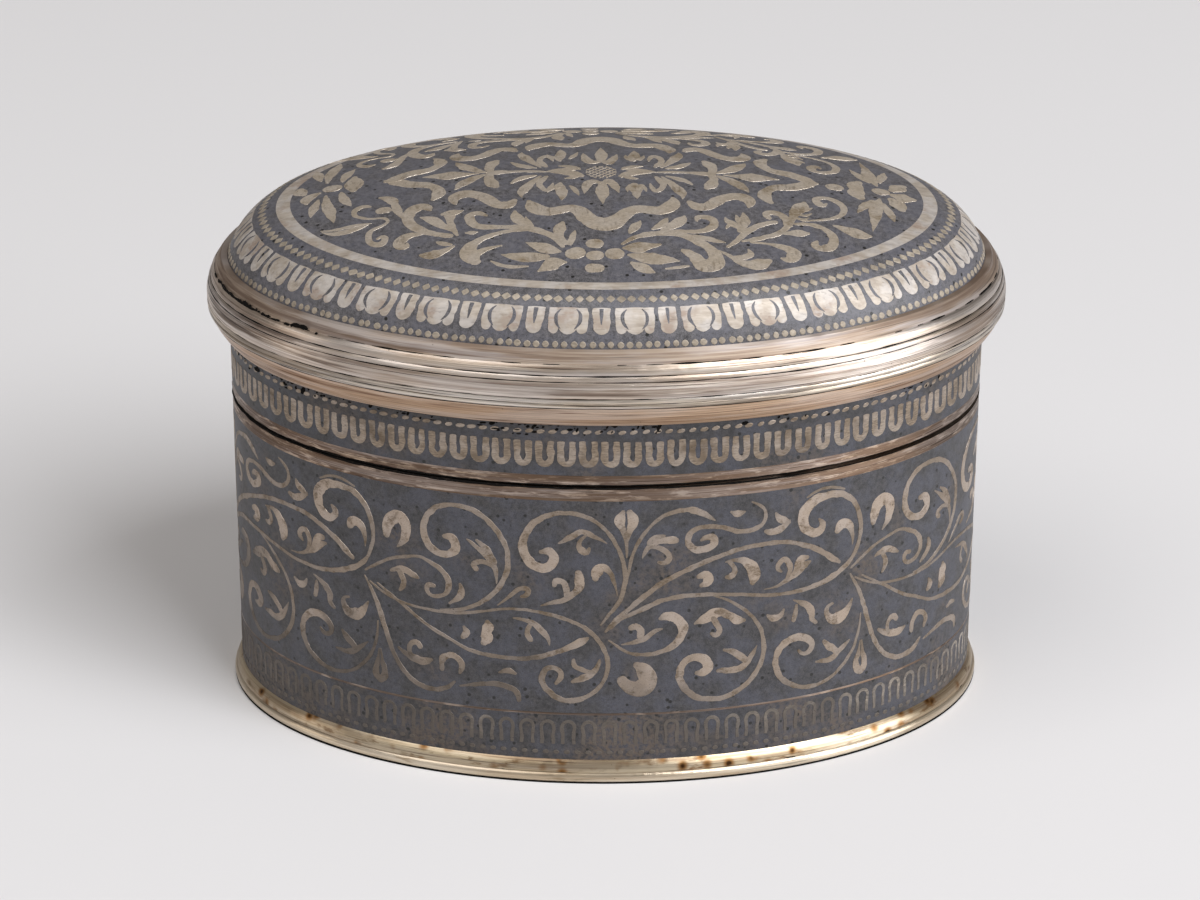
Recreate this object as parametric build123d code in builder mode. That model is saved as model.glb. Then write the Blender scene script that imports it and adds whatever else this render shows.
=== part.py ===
"""Oval silver lime box with niello panels and a lift-off lid.

Millimetres, +Z up. The origin is on the table under the middle of the box, with +X along its length.
The box is an oval wall on a foot, with a bezel inside its mouth. The lid is a domed plate on an upright
collar that slips over the bezel, with a drawn moulding soldered round it. The niello panels are inlays
let into the silver, flush with its face.
"""
from build123d import *
import os

# Plan of the box: an oval, given by half of its length and half of its width
half_length = 32.0
half_width = 20.8

# Silver sheet and inlay
lid_sheet = 0.9  # thickness of the lid's collar and of its domed plate
bezel_sheet = 0.7
base_sheet = 0.9
niello_depth = 0.3
slip_clearance = 0.12  # between the bezel and the lid's collar, all round

# Foot, from the table up
foot_ring_height = 0.95
foot_ring_reach = 0.7  # how far the foot stands out from the wall
foot_ring_rounding = 0.4
foot_wire_height = 1.0
foot_wire_reach = 0.5
base_recess = 0.3  # the base plate is this far above the table

# Body
mouth_height = 27.2  # top edge of the body's wall above the table
mouth_margin = 1.1  # plain silver above the scroll panel
border_height = 4.25  # niello border above the foot
border_line = 0.2  # silver line between the border and the scroll panel
bezel_seat = 8.0  # length of the bezel inside the wall
bezel_rise = 6.0  # length of the bezel above the wall

# Lid
seam_gap = 0.35  # open seam between the body's wall and the lid's collar
collar_margin = 0.85  # plain silver below the collar's niello band
collar_height = 5.55  # upright collar that shows below the moulding
dome_rise = 7.1  # from the edge of the domed plate to its top
shoulder_inset = 4.8  # how far in from the edge the shoulder starts to turn down, at the long end
shoulder_drop = 2.8  # how far the shoulder starts below the top
shoulder_border = 4.2  # niello border on the shoulder, measured in from the edge at the long end
ring_width = 1.2  # plain silver ring inside that border
cap_stand = 0.1  # the moulding stands this far above the dome's edge

# Drawn moulding of the lid, from its lower edge up. Each wire has its height, how far its lower and upper
# edges stand out from the collar, and how much its face swells between them.
moulding_wires = {
    "lid_cove_wire": (2.05, 0.40, 1.66, 0.12),
    "lid_thread_lower": (0.45, 1.66, 1.76, 0.10),
    "lid_thread_upper": (0.45, 1.76, 1.78, 0.08),
    "lid_band_wire": (1.40, 1.80, 1.68, 0.10),
    "lid_reed_narrow": (0.45, 1.66, 1.48, 0.08),
    "lid_reed_wide": (0.85, 1.46, 1.10, 0.12),
    "lid_cap_wire": (0.90, 1.12, 0.50, 0.06),
}

# Levels and outlines that follow from them
wall_sheet = lid_sheet + slip_clearance  # the bezel fits the wall and clears the lid's collar
wall_low = foot_ring_height
border_low = foot_ring_height + foot_wire_height
panel_low = border_low + border_height + border_line
panel_high = mouth_height - mouth_margin
bezel_low = mouth_height - bezel_seat
bezel_high = mouth_height + bezel_rise
lid_low = mouth_height + seam_gap
band_low = lid_low + collar_margin
moulding_low = lid_low + collar_height
moulding_height = sum(wire[0] for wire in moulding_wires.values())
dome_low = moulding_low + moulding_height - cap_stand
dome_high = dome_low + dome_rise
border_reach = half_length - shoulder_border
field_reach = border_reach - ring_width
oval_ratio = half_width / half_length


def oval(outset, mode=Mode.ADD):
    """Outline of the box's plan, moved out by outset."""
    Ellipse(half_length + outset, half_width + outset, mode=mode)


def scaled_oval(reach, mode=Mode.ADD):
    """Outline with the plan's proportions and the half length given."""
    Ellipse(reach, reach * oval_ratio, mode=mode)


def domed_solid(inset):
    """Solid under the dome's face, or under that face moved inwards by inset."""
    top = (0, dome_high - inset)
    shoulder = (half_length - shoulder_inset, dome_high - shoulder_drop - inset)
    edge = (half_length - inset, dome_low)
    with BuildPart() as solid:
        with BuildSketch(Plane.XZ):
            with BuildLine():
                crown = TangentArc(top, shoulder, tangent=(1, 0))
                TangentArc(shoulder, edge, tangent=crown % 1)
                Polyline(edge, (0, dome_low), top)
            make_face()
        revolve(axis=Axis.Z)
        scale(by=(1, (half_width - inset) / (half_length - inset), 1))
    return solid.part


def write(piece, name):
    """Label a finished piece and write it under that name."""
    piece.part.label = name
    export_step(piece.part, f"parts/{name}.step")


os.makedirs("parts", exist_ok=True)

# Foot: a ring that rests on the table and a half-round wire above it
with BuildPart() as foot_ring:
    with BuildSketch():
        oval(foot_ring_reach)
        oval(-wall_sheet, mode=Mode.SUBTRACT)
    extrude(amount=foot_ring_height)
    outer_edges = foot_ring.edges().filter_by(GeomType.ELLIPSE).sort_by(Edge.length)[-2:]
    fillet(outer_edges, foot_ring_rounding)
write(foot_ring, "foot_ring")

with BuildPart() as foot_wire:
    with BuildLine(Plane.XY.offset(foot_ring_height)) as foot_path:
        EllipticalCenterArc((0, 0), half_length, half_width, start_angle=0, arc_size=360)
    with BuildSketch(Plane.XZ):
        with BuildLine():
            wire_foot = (half_length + foot_wire_reach, foot_ring_height)
            wire_top = (half_length, foot_ring_height + foot_wire_height)
            TangentArc(wire_foot, wire_top, tangent=(0, 1))
            Polyline(wire_top, (half_length, foot_ring_height), wire_foot)
        make_face()
    sweep(path=foot_path.wires()[0])
write(foot_wire, "foot_wire")

with BuildPart() as base_plate:
    with BuildSketch(Plane.XY.offset(base_recess)):
        oval(-wall_sheet)
    extrude(amount=base_sheet)
write(base_plate, "base_plate")

# Niello panels of the body
with BuildPart() as body_border_niello:
    with BuildSketch(Plane.XY.offset(border_low)):
        oval(0)
        oval(-niello_depth, mode=Mode.SUBTRACT)
    extrude(amount=border_height)
write(body_border_niello, "body_border_niello")

with BuildPart() as body_scroll_niello:
    with BuildSketch(Plane.XY.offset(panel_low)):
        oval(0)
        oval(-niello_depth, mode=Mode.SUBTRACT)
    extrude(amount=panel_high - panel_low)
write(body_scroll_niello, "body_scroll_niello")

# Wall of the body, let in for the two panels
with BuildPart() as body_wall:
    with BuildSketch(Plane.XY.offset(wall_low)):
        oval(0)
        oval(-wall_sheet, mode=Mode.SUBTRACT)
    extrude(amount=mouth_height - wall_low)
    add(body_border_niello.part, mode=Mode.SUBTRACT)
    add(body_scroll_niello.part, mode=Mode.SUBTRACT)
write(body_wall, "body_wall")

with BuildPart() as bezel:
    with BuildSketch(Plane.XY.offset(bezel_low)):
        oval(-wall_sheet)
        oval(-wall_sheet - bezel_sheet, mode=Mode.SUBTRACT)
    extrude(amount=bezel_high - bezel_low)
write(bezel, "bezel")

# Lid: the upright collar with its niello band
with BuildPart() as collar_niello:
    with BuildSketch(Plane.XY.offset(band_low)):
        oval(0)
        oval(-niello_depth, mode=Mode.SUBTRACT)
    extrude(amount=moulding_low - band_low)
write(collar_niello, "collar_niello")

with BuildPart() as lid_collar:
    with BuildSketch(Plane.XY.offset(lid_low)):
        oval(0)
        oval(-lid_sheet, mode=Mode.SUBTRACT)
    extrude(amount=dome_low - lid_low)
    add(collar_niello.part, mode=Mode.SUBTRACT)
write(lid_collar, "lid_collar")

# Lid: the domed plate with a niello field inside a silver ring and a niello border on its shoulder
dome_face = domed_solid(0)
dome_under_niello = domed_solid(niello_depth)
dome_inside = domed_solid(lid_sheet)

with BuildPart() as dome_field_niello:
    add(dome_face)
    add(dome_under_niello, mode=Mode.SUBTRACT)
    with BuildSketch(Plane.XY.offset(dome_low)):
        scaled_oval(field_reach)
    extrude(amount=dome_rise, mode=Mode.INTERSECT)
write(dome_field_niello, "dome_field_niello")

with BuildPart() as shoulder_niello:
    add(dome_face)
    add(dome_under_niello, mode=Mode.SUBTRACT)
    with BuildSketch(Plane.XY.offset(dome_low)):
        scaled_oval(border_reach)
    extrude(amount=dome_rise, mode=Mode.SUBTRACT)
write(shoulder_niello, "shoulder_niello")

with BuildPart() as lid_dome:
    add(dome_face)
    add(dome_inside, mode=Mode.SUBTRACT)
    add(dome_field_niello.part, mode=Mode.SUBTRACT)
    add(shoulder_niello.part, mode=Mode.SUBTRACT)
write(lid_dome, "lid_dome")

# Lid: the drawn wires of the moulding, stacked from the collar's niello up to the dome's edge
wire_low = moulding_low
for wire_name, (height, low_reach, high_reach, swell) in moulding_wires.items():
    wire_high = wire_low + height
    low_edge = (half_length + low_reach, wire_low)
    high_edge = (half_length + high_reach, wire_high)
    middle = (half_length + (low_reach + high_reach) / 2 + swell, (wire_low + wire_high) / 2)
    with BuildPart() as moulding_wire:
        with BuildLine(Plane.XY.offset(wire_low)) as wire_path:
            EllipticalCenterArc((0, 0), half_length, half_width, start_angle=0, arc_size=360)
        with BuildSketch(Plane.XZ):
            with BuildLine():
                ThreePointArc(low_edge, middle, high_edge)
                Polyline(high_edge, (half_length, wire_high), (half_length, wire_low), low_edge)
            make_face()
        sweep(path=wire_path.wires()[0])
    write(moulding_wire, wire_name)
    wire_low = wire_high
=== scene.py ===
import bpy
import math
import numpy as np
from mathutils import Matrix, Vector


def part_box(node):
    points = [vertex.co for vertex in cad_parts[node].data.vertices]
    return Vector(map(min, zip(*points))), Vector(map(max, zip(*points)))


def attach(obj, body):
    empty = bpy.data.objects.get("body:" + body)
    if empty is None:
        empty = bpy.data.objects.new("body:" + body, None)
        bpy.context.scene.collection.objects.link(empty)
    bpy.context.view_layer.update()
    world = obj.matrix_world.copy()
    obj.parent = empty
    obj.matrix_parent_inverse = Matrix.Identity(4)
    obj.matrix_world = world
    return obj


# Oval silver box with niello panels and a lift-off lid. Lengths are in millimetres until a mesh is made.
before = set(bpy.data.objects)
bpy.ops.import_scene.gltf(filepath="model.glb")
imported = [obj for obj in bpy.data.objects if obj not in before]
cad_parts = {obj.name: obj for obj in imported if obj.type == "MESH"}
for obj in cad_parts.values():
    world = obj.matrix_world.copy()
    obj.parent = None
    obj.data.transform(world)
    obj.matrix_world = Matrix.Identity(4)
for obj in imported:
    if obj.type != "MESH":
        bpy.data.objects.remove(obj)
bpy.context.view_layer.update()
mm = 0.001
print("frame loaded:", len(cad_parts), "nodes")


def span(node):  # lowest and highest corner of a CAD node, in millimetres
    low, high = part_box(node)
    return np.array(low) / mm, np.array(high) / mm


# Plan of the box and heights on its lid, from the frame
halfLength, halfWidth = span("body_wall")[1][:2]
stretch = halfLength / halfWidth
collarLow = span("collar_niello")[0][2]
domeLow, domeTop = span("shoulder_niello")[0][2], span("dome_field_niello")[1][2]

# Arc length round the plan, from the middle of the front towards +X: the summed steps of a finely cut oval
planSteps = 8000
turns = np.linspace(-math.pi, math.pi, planSteps + 1)
speeds = np.hypot(halfLength * np.cos(turns), halfWidth * np.sin(turns))
arcs = np.concatenate([[0], np.cumsum((speeds[1:] + speeds[:-1]) / 2 * np.diff(turns))])
arcs -= arcs[-1] / 2
perimeter = arcs[-1] * 2


def turnAt(along):  # the oval's parameter at a distance along it, which may run past a full round
    return np.interp((along + perimeter / 2) % perimeter - perimeter / 2, arcs, turns)


def evenly(count):  # that many places round the oval, the first in the middle of the front
    return np.arange(count) * perimeter / count


def onOval(turn, height, lift):
    # The plan's point (a sin t, -b cos t) at a height, moved out by lift along its normal (sin t / a, -cos t / b)
    outward = np.stack([np.sin(turn) / halfLength, -np.cos(turn) / halfWidth, 0 * turn], -1)
    outward /= np.linalg.norm(outward, axis=-1, keepdims=True)
    base = np.stack([halfLength * np.sin(turn), -halfWidth * np.cos(turn), height + 0 * turn], -1)
    return base + outward * lift[..., None]


def onWall(along, height, lift):  # the same at an arc length
    return onOval(turnAt(along), height, lift)


# The lid's dome is a flat crown arc to the shoulder and a tighter arc, tangent to it, to the edge
dome = {"shoulderInset": 4.8, "shoulderDrop": 2.8}
shoulderReach = halfLength - dome["shoulderInset"]
shoulderHeight = domeTop - dome["shoulderDrop"]
crownRadius = (shoulderReach**2 + dome["shoulderDrop"]**2) / (2 * dome["shoulderDrop"])
crownAngle = 2 * math.atan2(dome["shoulderDrop"], shoulderReach)
edgeRun, edgeFall = halfLength - shoulderReach, shoulderHeight - domeLow
edgeTurn = math.atan2(edgeFall, edgeRun) - crownAngle
edgeRadius = math.hypot(edgeRun, edgeFall) / 2 / math.sin(edgeTurn)
edgeCentre = (shoulderReach - edgeRadius * math.sin(crownAngle), shoulderHeight - edgeRadius * math.cos(crownAngle))


def domeHeight(reach):  # height of the two arcs at a reach, which is a distance along the long axis
    crown = domeTop - crownRadius + np.sqrt(np.maximum(crownRadius**2 - reach**2, 0))
    edge = edgeCentre[1] + np.sqrt(np.maximum(edgeRadius**2 - (reach - edgeCentre[0])**2, 0))
    return np.where(reach < shoulderReach, crown, edge)


def onDome(x, y, lift):
    # The dome's height over (x, y), moved out by lift along the normal from its two slopes
    def height(x, y):
        return domeHeight(np.hypot(x, y * stretch))
    step = 0.01
    slopeX = (height(x + step, y) - height(x - step, y)) / (2 * step)
    slopeY = (height(x, y + step) - height(x, y - step)) / (2 * step)
    outward = np.stack([-slopeX, -slopeY, 1 + 0 * x], -1)
    outward /= np.linalg.norm(outward, axis=-1, keepdims=True)
    return np.stack([x, y, height(x, y)], -1) + outward * lift[..., None]


# Length down the shoulder's profile against reach, from a start on the crown to just inside the edge
profile = {"start": 26.0, "fromEdge": 0.02, "points": 600}
profileReach = np.linspace(profile["start"], halfLength - profile["fromEdge"], profile["points"])
profileFall = np.concatenate([[0], np.cumsum(np.hypot(np.diff(profileReach), np.diff(domeHeight(profileReach))))])


def riseAt(reach):  # minus the length down the shoulder to a reach
    return -np.interp(reach, profileReach, profileFall)


def onShoulder(along, rise, lift):  # along the oval and up its profile, where rise is minus the length down it
    turn, reach = turnAt(along), np.interp(-rise, profileFall, profileReach)
    return onDome(reach * np.sin(turn), -reach / stretch * np.cos(turn), lift)


def smoothThrough(points, spacing):
    # Natural cubic spline through the points, against the summed chords between them
    chords = np.linalg.norm(np.diff(points[:, :2], axis=0), axis=1)
    knots = np.concatenate([[0], np.cumsum(chords)])
    inner = np.arange(1, len(points) - 1)
    system, pull = np.eye(len(points)), np.zeros((len(points), 3))
    system[inner, inner - 1] = chords[:-1]
    system[inner, inner] = 2 * (chords[:-1] + chords[1:])
    system[inner, inner + 1] = chords[1:]
    slopes = np.diff(points, axis=0) / chords[:, None]
    pull[1:-1] = 6 * np.diff(slopes, axis=0)
    bend = np.linalg.solve(system, pull)
    at = np.linspace(0, knots[-1], max(3, int(knots[-1] / spacing) + 1))
    part = np.clip(np.searchsorted(knots, at, side="right") - 1, 0, len(chords) - 1)
    length = chords[part][:, None]
    before, after = at[:, None] - knots[part][:, None], knots[part + 1][:, None] - at[:, None]
    curved = (bend[part] * after**3 + bend[part + 1] * before**3) / (6 * length)
    start = (points[part] / length - bend[part] * length / 6) * after
    end = (points[part + 1] / length - bend[part + 1] * length / 6) * before
    return curved + start + end


cut = {  # how a figure of silver stands in the niello
    "spacing": 0.17,  # between two sections of a stroke
    "stand": 0.014,  # of its face over the niello
    "stagger": 0.003,  # between strokes that cross, and how many levels it has
    "levels": 5,
    "sink": 0.03,  # of its edge below the niello
    "bevel": 0.028,  # its width, and its largest share of half the stroke
    "bevelShare": 0.6,
    "thinnest": 0.03,  # least width of a stroke, and of its ends
    "thinnestEnd": 0.04,
    "rounding": (1.0, 0.93, 0.72, 0.4),  # sections of a round end, as shares of its radius
    "tip": 1.001,  # a little over 1, so that the end keeps some width
    "wander": 0.03,  # of a hand-cut edge, and the half width from which it is in full
    "wanderFull": 0.3,
}
cutter = np.random.default_rng(11)


def withBreadth(vertices, breadth):  # a fourth column holds how broad the figure is at that vertex
    return np.hstack([vertices, np.broadcast_to(breadth, len(vertices))[:, None]])


def tube(sections, corners, closed=False):
    # Four corners of each face between a section and the next, and from the last to the first where it is closed
    ring, corner = np.meshgrid(np.arange(sections - (not closed)), np.arange(corners), indexing="ij")
    onward, following = (ring + 1) % sections * corners, (corner + 1) % corners
    ring = ring * corners
    return np.stack([ring + corner, onward + corner, onward + following, ring + following], -1).reshape(-1, 4)


def stroke(points, place, order=0, blunt=(1.0, 1.0), swell=0.0):
    # A closed strip of five-point sections carried along the spline, with a bevel each side and rounded ends
    line = smoothThrough(np.array(points, float), cut["spacing"])
    ways = np.gradient(line[:, :2], axis=0)
    ways /= np.linalg.norm(ways, axis=1, keepdims=True)
    back = np.array(cut["rounding"])[:, None]
    caps = []
    line[:, 2] += swell
    for end, sign in ((0, -1), (-1, 1)):
        radius = max(line[end, 2], cut["thinnestEnd"]) / 2
        centre = line[end, :2] + sign * ways[end] * radius * back * blunt[end]
        caps.append(np.hstack([centre, 2 * radius * np.sqrt(cut["tip"] - back**2)]))
    line = np.vstack([caps[0], line, caps[1][::-1]])
    ways = np.vstack([np.repeat(ways[:1], len(back), 0), ways, np.repeat(ways[-1:], len(back), 0)])
    half = np.maximum(line[:, 2], cut["thinnest"]) / 2
    flat = 1 - np.minimum(cut["bevel"] / half, cut["bevelShare"])
    # Each edge wanders by the sum of three neighbouring draws, which is about 1.7 times as wide as one
    wander = cutter.standard_normal((2, len(half) + 2))
    wander = cut["wander"] * (wander[:, :-2] + wander[:, 1:-1] + wander[:, 2:]) / 1.7
    left, right = half + wander * np.minimum(half / cut["wanderFull"], 1)
    across = np.stack([-left, -left * flat, 0 * half, right * flat, right], 1)
    top = cut["stand"] + cut["stagger"] * (order % cut["levels"])
    lift = np.array([-cut["sink"], top, top, top, -cut["sink"]])
    u = line[:, :1] - ways[:, 1:] * across
    v = line[:, 1:2] + ways[:, :1] * across
    sections, size = u.shape
    vertices = place(u, v, np.broadcast_to(lift, u.shape)).reshape(-1, 3)
    ends = [list(range(size)), list(range(sections * size - 1, (sections - 1) * size - 1, -1))]
    return withBreadth(vertices, np.repeat(2 * half, size)), tube(sections, size), ends


button = {  # a low stud of three rings: below the niello, half way up and at its flat top
    "corners": 8,
    "shares": (1.0, 1.0, 0.86),  # of its half width, ring by ring
    "halfWay": 0.5,  # height of its middle ring, as a share of its own
    "breadth": 0.6,  # as the silver's shader sees it
}


def studs(along, rise, halfAcross, halfUp, place, slant=0.0, height=0.035, pinch=0.0):
    # An oval of corners for each ring of each stud. Slant leans it, and pinch draws in every other corner,
    # which turns the oval towards a diamond.
    corners, rings = button["corners"], len(button["shares"])
    along, rise, halfAcross, halfUp = np.broadcast_arrays(along, rise, halfAcross, halfUp)
    angle = np.linspace(0, 2 * math.pi, corners + 1)[:-1]
    share = np.array(button["shares"])[:, None] * (1 - pinch * (np.arange(corners) % 2))
    u = share * np.cos(angle) * halfAcross[:, None, None]
    v = share * np.sin(angle) * halfUp[:, None, None]
    lift = np.broadcast_to(np.array([-cut["sink"], height * button["halfWay"], height])[:, None], u.shape)
    vertices = place(along[:, None, None] + u + v * slant, rise[:, None, None] + v, lift).reshape(-1, 3)
    firsts = np.arange(len(along)) * rings * corners
    first, ring, corner = np.meshgrid(firsts, np.arange(rings - 1) * corners, np.arange(corners), indexing="ij")
    lower, following = first + ring, (corner + 1) % corners
    upper = lower + corners
    sides = np.stack([lower + corner, lower + following, upper + following, upper + corner], -1).reshape(-1, 4)
    ends = np.vstack([firsts[:, None] + np.arange(corners)[::-1],
                      firsts[:, None] + (rings - 1) * corners + np.arange(corners)]).tolist()
    return withBreadth(vertices, button["breadth"]), sides, ends


def makePiece(name, shells, finish, body, smooth=False):
    # One mesh object from closed shells, put in metres at the origin, riding on its CAD body
    vertices, faces, count = [], [], 0
    for points, sides, ends in shells:
        vertices.append(points)
        faces += (sides + count).tolist() + [[corner + count for corner in end] for end in ends]
        count += len(points)
    mesh = bpy.data.meshes.new(name)
    table = np.vstack(vertices)
    mesh.from_pydata((table[:, :3] * mm).tolist(), [], faces)
    mesh.attributes.new("breadth", "FLOAT", "POINT").data.foreach_set("value", table[:, 3])
    mesh.polygons.foreach_set("use_smooth", np.full(len(faces), smooth))
    mesh.materials.append(finish)
    piece = bpy.data.objects.new(name, mesh)
    bpy.context.scene.collection.objects.link(piece)
    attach(piece, body)
    print(name, len(shells), "shells,", len(faces), "faces")


# Shader maths: a wrapped socket takes part in Python expressions
class Signal:
    def __init__(self, tree, socket):
        self.tree, self.socket = tree, socket

    def node(self, kind, settings=None, inputs=None, output=0):
        # Adds one node: its settings first, then the values or links of its sockets
        made = self.tree.nodes.new(kind)
        for key, value in (settings or {}).items():
            setattr(made, key, value)
        for key, value in (inputs or {}).items():
            if isinstance(value, Signal):
                self.tree.links.new(value.socket, made.inputs[key])
            else:
                made.inputs[key].default_value = value
        return Signal(self.tree, made.outputs[output])

    def math(self, operation, *values):  # one maths node on numbers and signals
        return self.node("ShaderNodeMath", {"operation": operation}, dict(enumerate(values)))

    def __add__(self, other):
        return self.math("ADD", self, other)

    __radd__ = __add__

    def __sub__(self, other):
        return self.math("SUBTRACT", self, other)

    def __rsub__(self, other):
        return self.math("SUBTRACT", other, self)

    def __mul__(self, other):
        return self.math("MULTIPLY", self, other)

    __rmul__ = __mul__

    def within(self, low, high):  # 0 at low and 1 at high, with smooth ends
        return self.node("ShaderNodeMapRange", {"interpolation_type": "SMOOTHSTEP"},
                         {"Value": self, "From Min": low, "From Max": high})

    def blend(self, first, second):  # colour that goes from first to second as this value goes from 0 to 1
        return self.node("ShaderNodeMix", {"data_type": "RGBA"}, {0: self, 6: opaque(first), 7: opaque(second)}, 2)

    def scaled(self, x, y, z):  # each coordinate times its own scale
        return self.node("ShaderNodeMapping", None, {"Vector": self, "Scale": (x, y, z)})

    def noise(self, scale, detail=3.0, roughness=0.55):  # layered noise from 0 to 1
        return self.node("ShaderNodeTexNoise", None,
                         {"Vector": self, "Scale": scale, "Detail": detail, "Roughness": roughness})

    def cells(self, scale):  # distance from the middle of the nearest of scattered cells
        return self.node("ShaderNodeTexVoronoi", None, {"Vector": self, "Scale": scale})

    def breadth(self, low, high):  # how broad the figure is here, 0 at low and 1 at high
        stored = self.node("ShaderNodeAttribute", {"attribute_name": "breadth"}, None, 2)
        return stored.within(low, high)


def opaque(colour):  # a colour with full alpha, or a signal as it is
    return (*colour, 1.0) if isinstance(colour, tuple) else colour


def srgb(red, green, blue):  # an 8-bit display colour as linear values
    shares = np.array([red, green, blue]) / 255
    linear = np.where(shares < 0.04045, shares / 12.92, ((shares + 0.055) / 1.055)**2.4)
    return tuple(float(value) for value in linear)


def startMaterial(name, metallic, specular):
    # An empty material with its shader, and the object's own coordinates in millimetres
    material = bpy.data.materials.new(name)
    material.use_nodes = True
    tree = material.node_tree
    shader = tree.nodes["Principled BSDF"]
    shader.inputs["Metallic"].default_value = metallic
    shader.inputs["Specular IOR Level"].default_value = specular
    coordinates = tree.nodes.new("ShaderNodeTexCoord")
    place = Signal(tree, coordinates.outputs["Object"]).scaled(1 / mm, 1 / mm, 1 / mm)
    return material, shader, place


def finishMaterial(shader, colour, roughness, height, depth):
    # Links the three varying inputs: height from 0 to 1 becomes a relief of the given depth in millimetres
    bump = height.node("ShaderNodeBump", None, {"Height": height, "Distance": depth * mm, "Strength": 1.0})
    for key, signal in (("Base Color", colour), ("Roughness", roughness), ("Normal", bump)):
        signal.tree.links.new(signal.socket, shader.inputs[key])


nielloLook = {
    "deep": srgb(24, 23, 25), "grey": srgb(80, 78, 80), "blue": srgb(66, 70, 86), "brown": srgb(84, 72, 62),
    "pit": srgb(12, 11, 11), "blueness": 0.45, "pits": 1.0, "roughness": 0.38, "relief": 0.012,
    "clouds": (0.45, 5.0, 0.6), "mottles": (2.6, 4.0, 0.65), "grain": (13.0, 3.0, 0.7), "stains": (0.16, 3.0),
}
nielloKinds = {  # wear and tone of each; the lid's tone, over twice the body's, is painted light on its top and shoulder, which face the lamps
    "bodyNiello": (0.1, 0.9), "borderNiello": (0.24, 0.75), "lidNiello": (0.0, 2.1), "collarNiello": (0.14, 0.75),
}


def makeNiello(name, wear, tone):
    # Slate grey in mottles and a fine grain, bluish in clouds, brown stains where wear is high, scattered pits
    look = nielloLook
    material, shader, place = startMaterial(name, metallic=0.0, specular=0.6)
    clouds, mottles, grain = (place.noise(*look[kind]) for kind in ("clouds", "mottles", "grain"))
    stains = place.noise(*look["stains"]).within(0.62 - wear, 0.9 - wear)
    pits = (1 - place.cells(look["pits"]).within(0.13, 0.19)) * place.noise(0.35).within(0.42, 0.48)
    deep, grey = (tuple(level * tone for level in look[shade]) for shade in ("deep", "grey"))
    slate = (clouds * 0.2 + mottles * 0.4 + grain * 0.5).within(0.38, 0.72).blend(deep, grey)
    tinted = (clouds.within(0.38, 0.62) * grain.within(0.3, 0.6) * look["blueness"]).blend(slate, look["blue"])
    stained = (stains * mottles.within(0.35, 0.65)).blend(tinted, look["brown"])
    colour = pits.blend(stained, look["pit"])
    roughness = look["roughness"] + grain * 0.2 + stains * 0.12
    finishMaterial(shader, colour, roughness, grain * 0.5 + mottles * 0.5 - pits * 0.9, look["relief"])
    return material


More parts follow.
